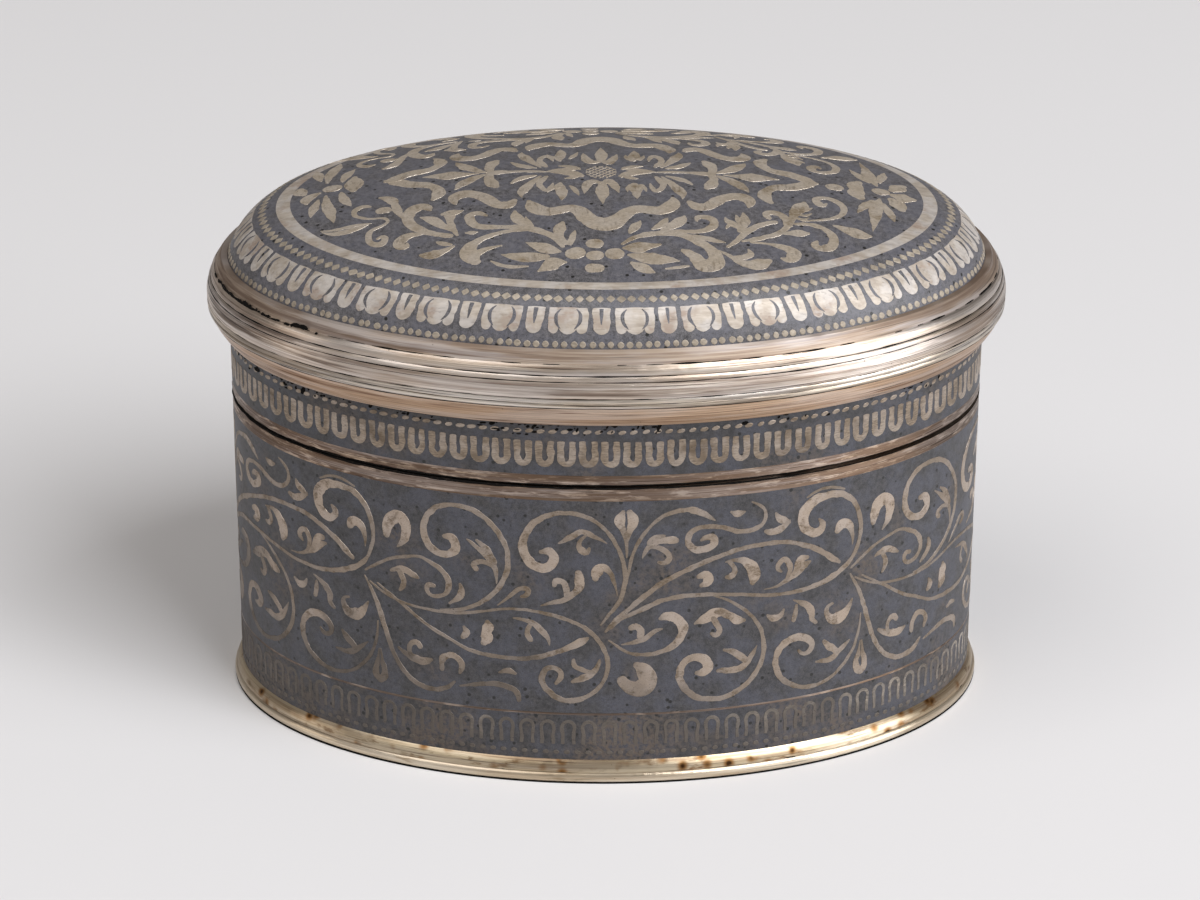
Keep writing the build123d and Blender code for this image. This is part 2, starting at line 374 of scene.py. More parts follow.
plainSilver = {  # what a look below doesn't say otherwise
    "metallic": 1.0, "roughness": 0.34, "relief": 0.012,
    "lines": (0.05, 0.05, 8.0),  # scales of the drawn lines and of the patches of tarnish, per millimetre
    "patch": (0.05, 0.05, 1.6),
    "tarnished": 0.2,  # share of the tarnish
    "scratched": 0.5,  # how far dark scratches show
    "play": 0.1,  # how far it turns cool in clouds
    "breadth": 0.0,  # how far a narrow stroke is duller than a broad one
    "wornAndShaded": 0.0,  # how far it darkens towards the foot and on the left, where it is painted shade of the side away from the lamps
}
silverLooks = {  # each with its dull and its clean colour and its tarnish
    "figure": {"dull": srgb(120, 108, 95), "clean": srgb(178, 162, 147), "tarnish": srgb(106, 91, 73),
               "metallic": 0.7, "roughness": 0.45, "lines": (4.0, 4.0, 9.0), "patch": (0.8, 0.8, 0.8),
               "play": 0.08, "breadth": 0.75, "wornAndShaded": 0.75},
    "collarFigure": {"dull": srgb(116, 103, 89), "clean": srgb(166, 150, 132), "tarnish": srgb(94, 80, 65),
                     "metallic": 0.7, "roughness": 0.42, "lines": (2.0, 2.0, 9.0), "patch": (0.2, 0.2, 0.3),
                     "tarnished": 0.18},
    "lidFigure": {"dull": srgb(178, 165, 147), "clean": srgb(224, 210, 192), "tarnish": srgb(132, 114, 88),
                  "metallic": 0.7, "roughness": 0.45, "lines": (3.0, 9.0, 6.0), "patch": (0.3, 0.3, 0.3),
                  "tarnished": 0.16, "scratched": 0.35, "breadth": 0.2},
    "bead": {"dull": srgb(134, 124, 110), "clean": srgb(174, 163, 148), "tarnish": srgb(112, 102, 88),
             "metallic": 0.3, "roughness": 0.55, "relief": 0.01, "lines": (2.0, 2.0, 4.0),
             "patch": (0.25, 0.25, 0.25), "scratched": 0.2, "play": 0.0},
    "wornAndShaded": {"dull": srgb(92, 87, 82), "clean": srgb(170, 158, 144), "tarnish": srgb(84, 77, 70),
             "metallic": 0.3, "roughness": 0.5, "relief": 0.01, "lines": (2.0, 2.0, 4.0),
             "patch": (0.25, 0.25, 0.25), "tarnished": 0.3, "wornAndShaded": 0.85},
    "ring": {"dull": srgb(154, 143, 131), "clean": srgb(188, 178, 166), "tarnish": srgb(147, 129, 116),
             "metallic": 0.3, "roughness": 0.5, "lines": (0.4, 3.0, 3.0), "patch": (0.3, 0.3, 0.3),
             "tarnished": 0.18, "scratched": 0.25, "play": 0.2},
    "rim": {"dull": srgb(112, 92, 76), "clean": srgb(206, 182, 158), "tarnish": srgb(84, 62, 50),
            "metallic": 0.95, "roughness": 0.32, "relief": 0.016, "lines": (0.09, 0.09, 9.0),
            "patch": (0.45, 0.45, 2.5), "tarnished": 0.34, "scratched": 0.9, "play": 0.2, "wornAndShaded": 0.4},
    "inside": {"dull": srgb(150, 142, 132), "clean": srgb(200, 192, 180), "tarnish": srgb(122, 108, 92),
               "metallic": 0.9, "roughness": 0.42, "relief": 0.008, "lines": (0.3, 0.3, 3.0),
               "patch": (0.2, 0.2, 0.2), "tarnished": 0.3, "scratched": 0.3, "play": 0.2},
    "footWire": {"dull": srgb(148, 124, 101), "clean": srgb(210, 194, 163), "tarnish": srgb(110, 78, 44),
                 "metallic": 0.95, "lines": (0.08, 0.08, 6.0), "patch": (0.35, 0.35, 1.2), "tarnished": 0.15,
                 "scratched": 0.6},
    "footRing": {"dull": srgb(188, 168, 142), "clean": srgb(232, 218, 194), "tarnish": srgb(150, 124, 92),
                 "metallic": 0.95, "relief": 0.008, "lines": (0.08, 0.08, 5.0), "patch": (0.2, 0.2, 1.5),
                 "tarnished": 0.13},
    "cove": {"dull": srgb(172, 140, 114), "clean": srgb(232, 204, 176), "tarnish": srgb(112, 80, 62),
             "roughness": 0.38, "relief": 0.04, "lines": (0.06, 0.06, 8.0), "scratched": 0.8, "play": 0.2},
    "thread": {"dull": srgb(156, 140, 123), "clean": srgb(240, 227, 209), "tarnish": srgb(96, 82, 70),
               "roughness": 0.3, "relief": 0.03, "lines": (0.06, 0.06, 6.0), "patch": (0.05, 0.05, 2.0),
               "scratched": 0.9, "play": 0.3},
    "band": {"dull": srgb(152, 131, 115), "clean": srgb(244, 231, 217), "tarnish": srgb(108, 90, 78),
             "relief": 0.05, "lines": (0.05, 0.05, 7.5), "tarnished": 0.22, "scratched": 0.9, "play": 0.2},
    "reed": {"dull": srgb(164, 145, 129), "clean": srgb(240, 226, 210), "tarnish": srgb(112, 90, 76),
             "relief": 0.03, "tarnished": 0.18, "scratched": 0.7, "play": 0.3},
    "cap": {"dull": srgb(136, 116, 101), "clean": srgb(196, 178, 160), "tarnish": srgb(110, 88, 74),
            "metallic": 0.65, "roughness": 0.56, "relief": 0.02, "lines": (0.06, 0.06, 7.0), "play": 0.3},
}
silverMarks = {
    # The dark brown below paints shade on the left and darkens the silver towards the foot
    "cool": srgb(200, 204, 214), "darkerLowShadedLeft": srgb(84, 77, 71), "scratch": srgb(56, 46, 40), "speck": srgb(32, 27, 24),
    "rib": srgb(118, 100, 78), "ribs": (3.2, 0.9, 1.0),  # across the broad strokes on the lid
    "spot": srgb(136, 94, 46), "heart": srgb(60, 38, 20), "spots": 0.75,  # on the foot wire
    "specks": 1.3, "smear": 0.9,  # smear is of light, across the lines of a face drawn round the box
    "darkerLowShadedLeftFrom": (-8, 13), "darkerLowShadedLeftRate": (0.006, 0.035),  # a side and a height, and the change per millimetre from there, of the darkening towards the foot and the painted shade on the left
}


def makeSilver(look):
    # Silver that goes from dull to clean in clouds and drawn lines, with tarnish in patches, a faint play of
    # warm and cool, dark scratches along the lines and small specks
    values, marks = {**plainSilver, **silverLooks[look]}, silverMarks
    material, shader, place = startMaterial(look + "Silver", values["metallic"], specular=0.5)
    drawn = max(values["lines"][:2]) < 0.1
    if drawn:
        shader.inputs["Anisotropic"].default_value = marks["smear"]
        shader.inputs["Anisotropic Rotation"].default_value = 0.25
    clouds = (place.scaled(0.08, 0.08, 1.2) if drawn else place).noise(1.0 if drawn else 0.5, 4.0)
    lines = place.scaled(*values["lines"]).noise(1.0, 4.0, 0.6)
    tarnish = place.scaled(*values["patch"]).noise(1.0, 4.0, 0.65)
    tarnish = tarnish.within(0.7 - values["tarnished"], 0.84 - values["tarnished"])
    scratches = place.scaled(*values["lines"]).scaled(1.7, 1.7, 1.9).noise(1.0, 2.0)
    scratches = scratches.within(0.6, 0.68) * values["scratched"]
    specks = (1 - place.cells(marks["specks"]).within(0.02, 0.1)) * place.noise(0.5).within(0.54, 0.62)
    share = (clouds * 0.4 + lines * 0.7).within(0.35, 0.75)
    if values["breadth"]:
        share = share * (1 - values["breadth"]) + place.breadth(0.25, 0.95) * values["breadth"]
    colour = share.blend(values["dull"], values["clean"])
    if look == "lidFigure":
        broad = place.breadth(0.6, 1.0)
        ribs = place.scaled(*marks["ribs"]).noise(1.0, 3.0, 0.6).within(0.5, 0.66)
        colour = (ribs * broad * place.noise(0.35).within(0.4, 0.6) * 0.55).blend(colour, marks["rib"])
    colour = (clouds.within(0.42, 0.6) * values["play"]).blend(colour, marks["cool"])
    colour = (tarnish * lines.within(0.25, 0.65) * 0.9).blend(colour, values["tarnish"])
    if values["wornAndShaded"]:
        # Darker towards the foot, and more so on the left as painted shade of the side away from the lamps: height and
        # side together against a noise
        across, level = (place.node("ShaderNodeSeparateXYZ", None, {"Vector": place}, axis) for axis in (0, 2))
        (side, height), (sideRise, heightRise) = marks["darkerLowShadedLeftFrom"], marks["darkerLowShadedLeftRate"]
        darkerLowShadedLeft = place.noise(0.14, 3.0) + (height - level) * heightRise - (across - side) * sideRise
        colour = (darkerLowShadedLeft.within(0.5, 0.74) * values["wornAndShaded"]).blend(colour, marks["darkerLowShadedLeft"])
    if look == "footWire":
        distance = place.cells(marks["spots"])
        spots = (1 - distance.within(0.2, 0.5)) * place.noise(0.25).within(0.42, 0.52)
        colour = (spots * 0.9).blend(colour, marks["spot"])
        colour = (spots * (1 - distance.within(0.1, 0.26))).blend(colour, marks["heart"])
    colour = scratches.blend(colour, marks["scratch"])
    colour = (specks * 0.8).blend(colour, marks["speck"])
    roughness = values["roughness"] + lines * 0.14 + tarnish * 0.12 - 0.08
    finishMaterial(shader, colour, roughness, lines * 0.8 + clouds * 0.3 - specks * 0.4, values["relief"])
    return material


# One dark finish for residue in pits, crumbs and seams, and for painted shadow in the lid's seam and under the foot
# ring
residueAndShadowLook = {"dark": srgb(8, 7, 6), "light": srgb(56, 46, 40), "crumbs": (5.0, 4.0, 0.7), "relief": 0.03}


def makeResidueAndShadow():
    # Black polish and solder dross, with a rough broken surface; the same black paints shadow in the gap between lid
    # and box and under the foot ring
    material, shader, place = startMaterial("seamResidueAndShadow", metallic=0.0, specular=0.1)
    crumbs = place.noise(*residueAndShadowLook["crumbs"])
    colour = crumbs.within(0.5, 0.8).blend(residueAndShadowLook["dark"], residueAndShadowLook["light"])
    finishMaterial(shader, colour, 0.7 + crumbs * 0.3, crumbs, residueAndShadowLook["relief"])
    return material


silver = {look: makeSilver(look) for look in silverLooks}
niello = {name: makeNiello(name, wear, tone) for name, (wear, tone) in nielloKinds.items()}
residueAndShadow = makeResidueAndShadow()

nodeFinishes = {
    "foot_ring": silver["footRing"], "foot_wire": silver["footWire"], "base_plate": silver["inside"],
    "body_wall": silver["rim"], "bezel": silver["inside"], "body_scroll_niello": niello["bodyNiello"],
    "body_border_niello": niello["borderNiello"], "lid_collar": silver["rim"], "collar_niello": niello["collarNiello"],
    "lid_dome": silver["ring"], "dome_field_niello": niello["lidNiello"], "shoulder_niello": niello["lidNiello"],
    "lid_cove_wire": silver["cove"], "lid_thread_lower": silver["thread"], "lid_thread_upper": silver["thread"],
    "lid_band_wire": silver["band"], "lid_reed_narrow": silver["reed"], "lid_reed_wide": silver["reed"],
    "lid_cap_wire": silver["cap"],
}
for node, finish in nodeFinishes.items():
    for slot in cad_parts[node].material_slots:
        slot.material = finish
print("materials made:", len(bpy.data.materials))

# Scroll of the body: one repeat, as strokes of (distance along the wall, height, width)
scroll = {"repeats": 4, "swell": 0.06, "leafSwell": 0.1, "leafPoints": 6}  # a leaf has fewer points, and swells more
scrollStrokes = [
    # hook and first spiral, with the leaf inside it
    [(-18.95, 21.35, .6), (-18.8, 22.3, .95), (-18.4, 22.95, 1.15), (-17.8, 23.15, 1.15), (-17.3, 22.7, 1),
     (-17.2, 22, .85), (-17.4, 21.1, .6), (-17.95, 20.4, .15)],
    [(-14.2, 15.15, .15), (-12.4, 15.45, .3), (-10.9, 16.2, .35), (-9.7, 17.2, .4), (-8.85, 18.5, .45),
     (-8.45, 20, .45), (-8.55, 21.5, .42), (-9.2, 22.8, .42), (-10.2, 24, .42), (-11.5, 24.8, .42), (-12.9, 25, .38),
     (-14.2, 24.75, .45), (-15.2, 23.85, .5), (-15.6, 22.6, .55), (-15.4, 21.4, .6), (-14.7, 20.6, .6),
     (-13.8, 20.35, .65), (-13.05, 20.7, .75), (-12.85, 21.4, .75), (-13.2, 22, .7), (-13.75, 22.05, .45)],
    [(-11.85, 22, .1), (-11.2, 21.5, .35), (-10.5, 20.9, .5), (-9.8, 20.1, .5), (-9.45, 19.2, .35), (-9.4, 18.2, .1)],
    [(-11.05, 22, .1), (-10.5, 21.55, .35), (-9.95, 20.9, .4), (-9.55, 20.1, .3)],
    [(-11.15, 19.4, .4), (-11.35, 19.75, .4), (-10.9, 20.05, .3), (-10.2, 20, .25), (-9.6, 19.7, .15)],
    # small spiral beside it, with its leaf and comma
    [(-21, 17.6, .2), (-19.8, 18.45, .25), (-18.4, 19.25, .25), (-17, 19.65, .25), (-16, 19.8, .25), (-15, 19.4, .35),
     (-14.1, 18.85, .42), (-13.55, 18, .48), (-13.55, 17.1, .45), (-14.1, 16.5, .35), (-14.9, 16.35, .35),
     (-15.4, 16.8, .4), (-15.2, 17.35, .45), (-14.8, 17.3, .35)],
    [(-18.6, 18.05, .12), (-17.9, 18.35, .45), (-17.2, 18.3, .5), (-16.6, 18, .4), (-16.2, 17.8, .15)],
    [(-17.9, 18.2, .3), (-17.6, 17.6, .35), (-17.5, 17, .35), (-17.8, 16.4, .15)],
    [(-12.5, 17.75, .15), (-12.35, 17.1, .45), (-12.65, 16.5, .4), (-13.4, 15.9, .1)],
    # long stem into the low spiral, and the stem to the node
    [(-20.6, 16.6, .15), (-19, 15.7, .2), (-17.5, 15.25, .2), (-15.8, 15.05, .22), (-14, 15, .25),
     (-12.2, 15.15, .25), (-10.5, 15.5, .22), (-9, 15.85, .22), (-7.6, 15.95, .25), (-6.2, 15.85, .28),
     (-4.9, 15.6, .3), (-3.6, 15.2, .32), (-2.4, 14.65, .32), (-1.4, 13.85, .35), (-.7, 12.9, .35), (-.25, 11.7, .35),
     (-.2, 10.5, .35), (-.6, 9.3, .35), (-1.4, 8.35, .38), (-2.4, 7.75, .42), (-3.5, 7.55, .45), (-4.6, 7.95, .48),
     (-5.4, 8.75, .5), (-5.65, 9.7, .5), (-5.3, 10.45, .45), (-4.65, 10.65, .42), (-4.1, 10.25, .45),
     (-4.15, 9.6, .45), (-4.45, 9.2, .3)],
    [(-19.9, 16.6, .12), (-18.4, 15.6, .25), (-16.8, 14.5, .28), (-15.2, 13.4, .28), (-13.6, 12.6, .28),
     (-12, 11.8, .28), (-10.4, 11.45, .35), (-8.8, 11.35, .38), (-7.2, 11.35, .38), (-5.8, 11.65, .4),
     (-4.5, 12.1, .45), (-3.3, 12.65, .55), (-2.3, 13.2, .6), (-1.9, 13.45, .35)],
    # worn low spiral on the left and the leaves in it
    [(-21.1, 17, .12), (-20.2, 15.3, .35), (-19.6, 13.6, .42), (-19.1, 12, .42), (-18.6, 10.5, .4), (-17.9, 9.2, .4),
     (-16.9, 8.15, .42), (-15.7, 7.6, .45), (-14.5, 7.6, .45), (-13.6, 8, .4), (-13.1, 8.5, .2)],
    [(-18, 10.9, .15), (-17.2, 10.4, .45), (-16.3, 10.1, .6), (-15.5, 10.1, .5), (-15.1, 10.3, .15)],
    [(-16.9, 10.3, .25), (-17.05, 11, .3), (-16.8, 11.6, .35), (-16.35, 11.7, .4), (-16.1, 11.4, .35)],
    [(-14.2, 9.6, .4), (-14.15, 10.4, .5), (-13.6, 11, .55), (-12.9, 10.9, .5), (-12.45, 10.2, .5), (-12.6, 9.5, .3)],
    [(-12.6, 8.2, .12), (-11.2, 8.55, .35), (-9.8, 8.75, .45), (-8.6, 8.6, .5), (-7.7, 8, .5), (-7.6, 7.4, .35)],
    [(-9.2, 9.9, .1), (-8.5, 10.1, .4), (-7.9, 9.9, .15)],
    [(-10.2, 14.5, .3), (-10.15, 14.1, .85), (-10.3, 13.6, .75), (-10.25, 13, .95), (-10.5, 12.6, .5)],
    [(-12.2, 13.8, .15), (-12, 13.3, .5), (-12.3, 12.9, .3)],
    [(-8, 15.1, .1), (-6.9, 14.95, .35), (-6.1, 14.55, .5), (-5.5, 13.9, .5), (-5.1, 13.3, .3), (-5, 12.8, .1)],
    [(-6.5, 14.7, .3), (-6.8, 14.1, .3), (-6.85, 13.6, .3), (-6.6, 13.2, .35)],
    [(-3.1, 9.4, .15), (-2.4, 9.65, .4), (-1.7, 10, .45), (-1.15, 10.6, .35), (-.85, 11.4, .12)],
    [(-3, 11.4, .2), (-2.95, 10.9, .3), (-2.5, 10.6, .3), (-1.9, 10.4, .3), (-1.4, 10.3, .2)],
    [(-9.3, 16.2, .1), (-8.6, 16.85, .25), (-7.9, 17.5, .35), (-7.2, 17.95, .4), (-6.75, 17.8, .45),
     (-6.85, 17.35, .4), (-7.3, 17.15, .25)],
    # left plume over the node, its leaf and bud
    [(-.75, 14.75, .12), (0, 15.8, .3), (.7, 16.8, .35), (1.1, 18, .4), (1.25, 19.2, .4), (1.1, 20.4, .32),
     (.75, 21.6, .32), (.1, 22.85, .3), (-.8, 23.9, .3), (-1.9, 24.65, .33), (-3, 24.97, .35), (-4.1, 25, .36),
     (-5.2, 24.7, .42), (-6.2, 24.05, .5), (-6.95, 23, .6), (-7.2, 21.8, .68), (-6.9, 20.75, .75), (-6.2, 20.05, .8),
     (-5.4, 19.9, .8), (-4.75, 20.4, .8), (-4.65, 21.05, .75), (-5.05, 21.45, .65), (-5.65, 21.4, .4)],
    [(-4.2, 22.25, .15), (-3.6, 22.6, .4), (-2.95, 23.05, .5), (-2.2, 23.35, .5), (-1.5, 23, .4), (-.9, 22.7, .25),
     (-.3, 22.3, .08)],
    [(-2, 23, .2), (-2.4, 22.6, .3), (-2.55, 22, .45), (-2.25, 21.55, .6), (-1.9, 21.5, .45), (-1.75, 21.8, .25)],
    [(-1.2, 19.1, .55), (-1.05, 19.7, .95), (-.6, 20.05, .8), (-.1, 19.7, .45), (.25, 18.9, .3), (.5, 18.1, .15),
     (.6, 17.5, .06)],
    [(-5.7, 16.4, .08), (-4.7, 16.75, .35), (-3.8, 17, .45), (-3.1, 17.55, .5), (-2.55, 18.3, .7), (-2.5, 19, .85),
     (-2.6, 19.5, .6)], [(-3.6, 17.4, .3), (-3.65, 18.2, .4), (-4, 18.75, .45), (-4.5, 18.7, .5), (-4.6, 18.4, .3)],
    # drop between the plumes, in two halves with a dark slit
    [(1.02, 25.1, .4), (.78, 24.4, .85), (.95, 23.7, .6), (1.15, 23.1, .4), (1.3, 22.4, .3), (1.35, 21, .1)],
    [(1.6, 25.1, .4), (1.88, 24.4, .85), (1.7, 23.7, .6), (1.5, 23.1, .35), (1.4, 22.6, .2)],
    # right plume
    [(1.35, 18.6, .2), (1.5, 19.6, .25), (1.7, 20.7, .28), (2.1, 21.9, .28), (2.7, 23, .28), (3.5, 24, .28),
     (4.5, 24.75, .32), (5.5, 25.05, .4), (6.5, 25.1, .5), (7.3, 24.85, .55), (8, 24.45, .4), (8.6, 24, .1)],
    [(11.75, 25.3, .1), (12.4, 24.95, .25), (12.9, 24.3, .3), (12.85, 23.5, .33), (12.3, 22.95, .38),
     (11.3, 22.7, .42), (10.2, 22.9, .42), (9.2, 23.3, .4), (8.2, 23.45, .38), (7.2, 23.35, .4), (6.55, 22.9, .45),
     (6.4, 22.2, .5), (6.75, 21.6, .58), (7.4, 21.35, .62), (8.1, 21.5, .65), (8.6, 22, .65), (8.45, 22.45, .6),
     (7.95, 22.5, .55), (7.55, 22.3, .3)], [(10, 24.6, .1), (10.5, 24.4, .5), (11.1, 24.5, .1)],
    [(2.65, 20.9, .08), (2.95, 21.6, .35), (3.5, 22.15, .5), (4.2, 22.4, .55), (4.9, 22.45, .65), (5.35, 22.4, .55)],
    [(3.2, 22.2, .3), (3.7, 22.7, .35), (4.4, 22.85, .15)],
    [(3.4, 21.9, .3), (4.1, 21.75, .4), (4.65, 21.3, .45), (4.85, 20.8, .45), (4.55, 20.4, .45), (4, 20.45, .25)],
    # two long stems to the right and the spiral at their end
    [(-.35, 14.15, .2), (.4, 15, .5), (1.2, 15.85, .4), (2.2, 16.8, .4), (3.3, 17.75, .42), (4.6, 18.7, .42),
     (6, 19.45, .42), (7.5, 20.1, .4), (9, 20.65, .38), (10.5, 21.05, .38), (12, 21.25, .38), (13.6, 21.3, .38),
     (15, 21.15, .38), (16.3, 20.7, .4), (17.5, 20.1, .45), (18.6, 19.3, .5), (19.3, 18.7, .5), (19.7, 18.4, .3)],
    [(-.3, 14.2, .2), (.6, 15.1, .3), (1.8, 15.75, .35), (3, 16.3, .4), (4.2, 16.85, .4), (5.5, 17.15, .38),
     (7, 17.22, .35), (8.5, 17.17, .33), (10, 17, .3), (11.5, 16.8, .3), (13, 16.55, .3), (14.6, 16.43, .32),
     (16.2, 16.45, .36), (17.6, 16.68, .42), (18.9, 17.1, .48), (19.8, 17.55, .48), (20.5, 18.05, .45),
     (21.1, 18.75, .35), (21.5, 19.7, .35), (21.75, 20.9, .35), (21.65, 22, .38), (21.3, 23.1, .42),
     (20.6, 24.1, .48), (19.7, 24.7, .55), (18.6, 24.85, .65), (17.5, 24.7, .8), (16.7, 24.2, .95), (16.3, 23.4, 1),
     (16.35, 22.5, .9), (16.8, 21.85, .8), (17.4, 21.6, .75), (17.95, 21.85, .65), (18.05, 22.35, .5),
     (17.75, 22.75, .25)], [(16.6, 25, .06), (17.6, 25.45, .12), (18.8, 25.5, .12), (20, 25.1, .06)],
    [(19.5, 21.4, .6), (19.75, 21.8, .9), (20.3, 21.85, .85), (20.75, 21.3, .55), (20.95, 20.6, .3),
     (20.95, 19.8, .08)], [(7.4, 18.95, .4), (7.95, 19, .7), (8.15, 18.6, .8), (7.9, 18.2, .65), (7.6, 18.1, .3)],
    [(9.6, 20.05, .1), (10.4, 20.15, .3), (11.1, 20, .6), (11.7, 19.5, .95), (12, 18.9, 1.05), (12.05, 18.35, .95),
     (11.95, 17.9, .5)], [(9.9, 20, .2), (10.3, 19.5, .3), (10.35, 19, .35), (10, 18.65, .4), (9.7, 18.65, .2)],
    [(13.85, 23.95, .15), (14.1, 23.5, .5), (14.6, 23.2, .45), (15, 23, .2)],
    [(15, 23.1, .15), (14.6, 22.7, .45), (14, 22.4, .5), (13.4, 22.35, .45), (13, 22.45, .25)],
    [(13, 17.1, .06), (14, 17.2, .2), (14.8, 17.55, .4), (15.5, 18, .6), (16.1, 18.4, .6), (16.6, 18.85, .5),
     (16.95, 19, .25)], [(15.6, 18.2, .4), (15.95, 18.9, .55), (16.3, 19.4, .6), (16.65, 19.45, .35)],
    [(14.95, 17.8, .3), (15.2, 18.6, .45), (15.05, 19.3, .5), (14.65, 19.65, .5), (14.25, 19.4, .5), (14.1, 18.9, .4),
     (14.4, 18.55, .2)],
    # low spiral on the right of the node, its leaves and the curl beside the node
    [(8.4, 17.1, .08), (9.8, 16.5, .22), (11, 15.65, .28), (12, 14.65, .3), (12.7, 13.4, .33), (13, 12, .38),
     (12.95, 10.8, .4), (12.5, 9.6, .42), (11.7, 8.55, .42), (10.6, 7.75, .42), (9.4, 7.35, .42), (8.2, 7.35, .45),
     (7.1, 7.75, .5), (6.3, 8.5, .58), (5.85, 9.5, .65), (5.95, 10.5, .62), (6.5, 11.25, .62), (7.3, 11.4, .7),
     (8, 11, .8), (8.2, 10.35, .8), (7.75, 9.9, .7), (7.3, 9.9, .35)],
    [(9.1, 9.95, .3), (9.8, 9.9, .55), (10.6, 9.85, .6), (11.3, 10.2, .6), (11.8, 10.8, .5), (12.2, 11.5, .25),
     (12.4, 11.9, .06)], [(9.6, 11.85, .15), (10.3, 11.6, .4), (10.9, 11.2, .45), (11.4, 10.7, .4)],
    [(-.1, 13.3, .08), (.7, 12.65, .2), (1.6, 12.1, .25), (2.7, 11.9, .3), (3.8, 12, .38), (4.9, 12.4, .5),
     (5.7, 13.1, .65), (6.05, 14, .78), (5.8, 14.9, .85), (5.2, 15.35, .85), (4.6, 15.4, .7), (4.2, 15.25, .35)],
    [(1, 12.9, .1), (1.8, 13.05, .3), (2.6, 13.25, .45), (3.3, 13.7, .45), (3.8, 14.1, .35), (4.3, 14.25, .12)],
    [(1.75, 14.45, .35), (2.15, 14.55, .45), (2.5, 14.2, .45), (2.55, 13.6, .4)],
    [(1, 9.5, .8), (1.6, 8.9, 1.2), (2.4, 8.7, 1.5), (3.1, 9.2, 1.6), (3.1, 10, 1.5), (2.7, 10.6, 1.2),
     (2.3, 10.9, .7)], [(7.1, 14.6, .15), (7.6, 14.85, .6), (8.3, 15.15, .85), (9, 15.4, .8), (9.7, 15.3, .5)],
    [(8.9, 15.5, .3), (9.6, 15.25, .5), (10.3, 14.8, .65), (10.9, 14.5, .6), (11.2, 14.45, .25)],
    [(8.6, 14.9, .3), (8.95, 14.3, .4), (9.15, 13.7, .4), (8.9, 13.35, .4), (8.5, 13.5, .2)],
    [(13.3, 14.6, .12), (13.9, 14.25, .55), (14.4, 14.4, .4), (14.7, 14.9, .12)],
    [(15.6, 15.65, .12), (16.3, 15.3, .4), (16.9, 14.85, .6), (17.25, 14.2, .6), (17.3, 13.6, .5),
     (17.65, 13.2, .35)], [(15.85, 15.1, .15), (15.8, 14.5, .3), (15.65, 13.8, .3)],
    # cup, last low spiral and the drop in the join
    [(19.2, 14.6, .2), (18.75, 14.4, .3), (18.7, 13.8, .5), (19.2, 13.2, .9), (19.8, 13.15, 1.1), (20.4, 13.5, .8),
     (20.8, 14, .5), (21.1, 14.6, .15)],
    [(22, 13, .12), (21.9, 11.8, .2), (21.6, 10.5, .25), (21, 9.3, .28), (20.2, 8.35, .3), (19.2, 7.6, .3),
     (18, 7.2, .32), (16.8, 7.2, .36), (15.7, 7.6, .42), (14.8, 8.3, .48), (14.2, 9.3, .52), (14.1, 10.4, .55),
     (14.5, 11.35, .62), (15.3, 11.95, .65), (16.2, 12.1, .65), (17, 11.7, .6), (17.35, 11.05, .5), (17, 10.5, .42),
     (16.4, 10.5, .35), (16.15, 10.8, .2)],
    [(17.8, 9.4, .15), (18.5, 9.35, .4), (19.2, 9.4, .5), (19.8, 9.8, .5), (20.4, 10.3, .4), (20.95, 10.75, .12)],
    [(18.5, 11.2, .2), (18.8, 10.8, .5), (19.3, 10.4, .5), (19.7, 10, .4)],
    [(22.05, 10.4, .1), (21.95, 9.6, .25), (21.85, 9, .45), (21.7, 8.4, .55), (21.8, 7.8, .65), (22.1, 7.45, .5)],
    [(22.2, 10.4, .1), (22.3, 9.6, .25), (22.4, 9, .45), (22.55, 8.4, .55), (22.45, 7.8, .65), (22.15, 7.45, .5)],
]
shells = []
for shift in evenly(scroll["repeats"]):
    for order, points in enumerate(scrollStrokes):
        moved = [(along + shift, height, width) for along, height, width in points]
        swell = scroll["swell"] + scroll["leafSwell"] * (len(points) < scroll["leafPoints"])
        shells.append(stroke(moved, onWall, order, swell=swell))
makePiece("body_scroll_figures", shells, silver["figure"], "box")


def bow(middle, left, crown, width):  # stroke of a bow: its left side, its crown and the left side turned over
    path = left + crown + [(-across, height) for across, height in reversed(left)]
    return [(middle + across, height, width) for across, height in path]


# Border above the foot: worn arches over a row of dots
border = {"arches": 97, "low": 3.45, "top": 5.5, "halfSpan": 0.48, "width": 0.34, "corner": (0.22, 0.25),
          "blunt": (0.3, 0.3), "dots": 188, "dotHeight": 2.65, "dotHalf": (0.26, 0.2)}
half, low, top = border["halfSpan"], border["low"], border["top"]
across, down = border["corner"]
leg = [(-half, low), (-half, (low + top) / 2), (-half, top - down), (-half + across, top)]
shells = []
for order, middle in enumerate(evenly(border["arches"])):
    shells.append(stroke(bow(middle, leg, [], border["width"]), onWall, order, border["blunt"]))
shells.append(studs(evenly(border["dots"]), border["dotHeight"], *border["dotHalf"], onWall))
makePiece("body_border_figures", shells, silver["wornAndShaded"], "box")

# Collar of the lid: cut tongues, open at the top, under a row of slanting dashes
random = np.random.default_rng(7)
tongues = {"count": 94, "low": 1.02, "high": 3.0, "halfSpan": 0.48, "width": 0.6, "blunt": (0.3, 0.3), "uneven": 0.05,
           "bend": ((1, .9), (.96, .42), (.6, .1))}  # shares of the half span, and heights over the lowest point
shells = []
for order, middle in enumerate(evenly(tongues["count"])):
    half = tongues["halfSpan"] * (1 + tongues["uneven"] * random.standard_normal())
    low, high = collarLow + tongues["low"], collarLow + tongues["high"]
    high += tongues["uneven"] * random.standard_normal()
    arm = [(-half, high)] + [(-half * share, low + over) for share, over in tongues["bend"]]
    shells.append(stroke(bow(middle, arm, [(0, low)], tongues["width"]), onWall, order, tongues["blunt"]))
makePiece("collar_tongues", shells, silver["collarFigure"], "lid")


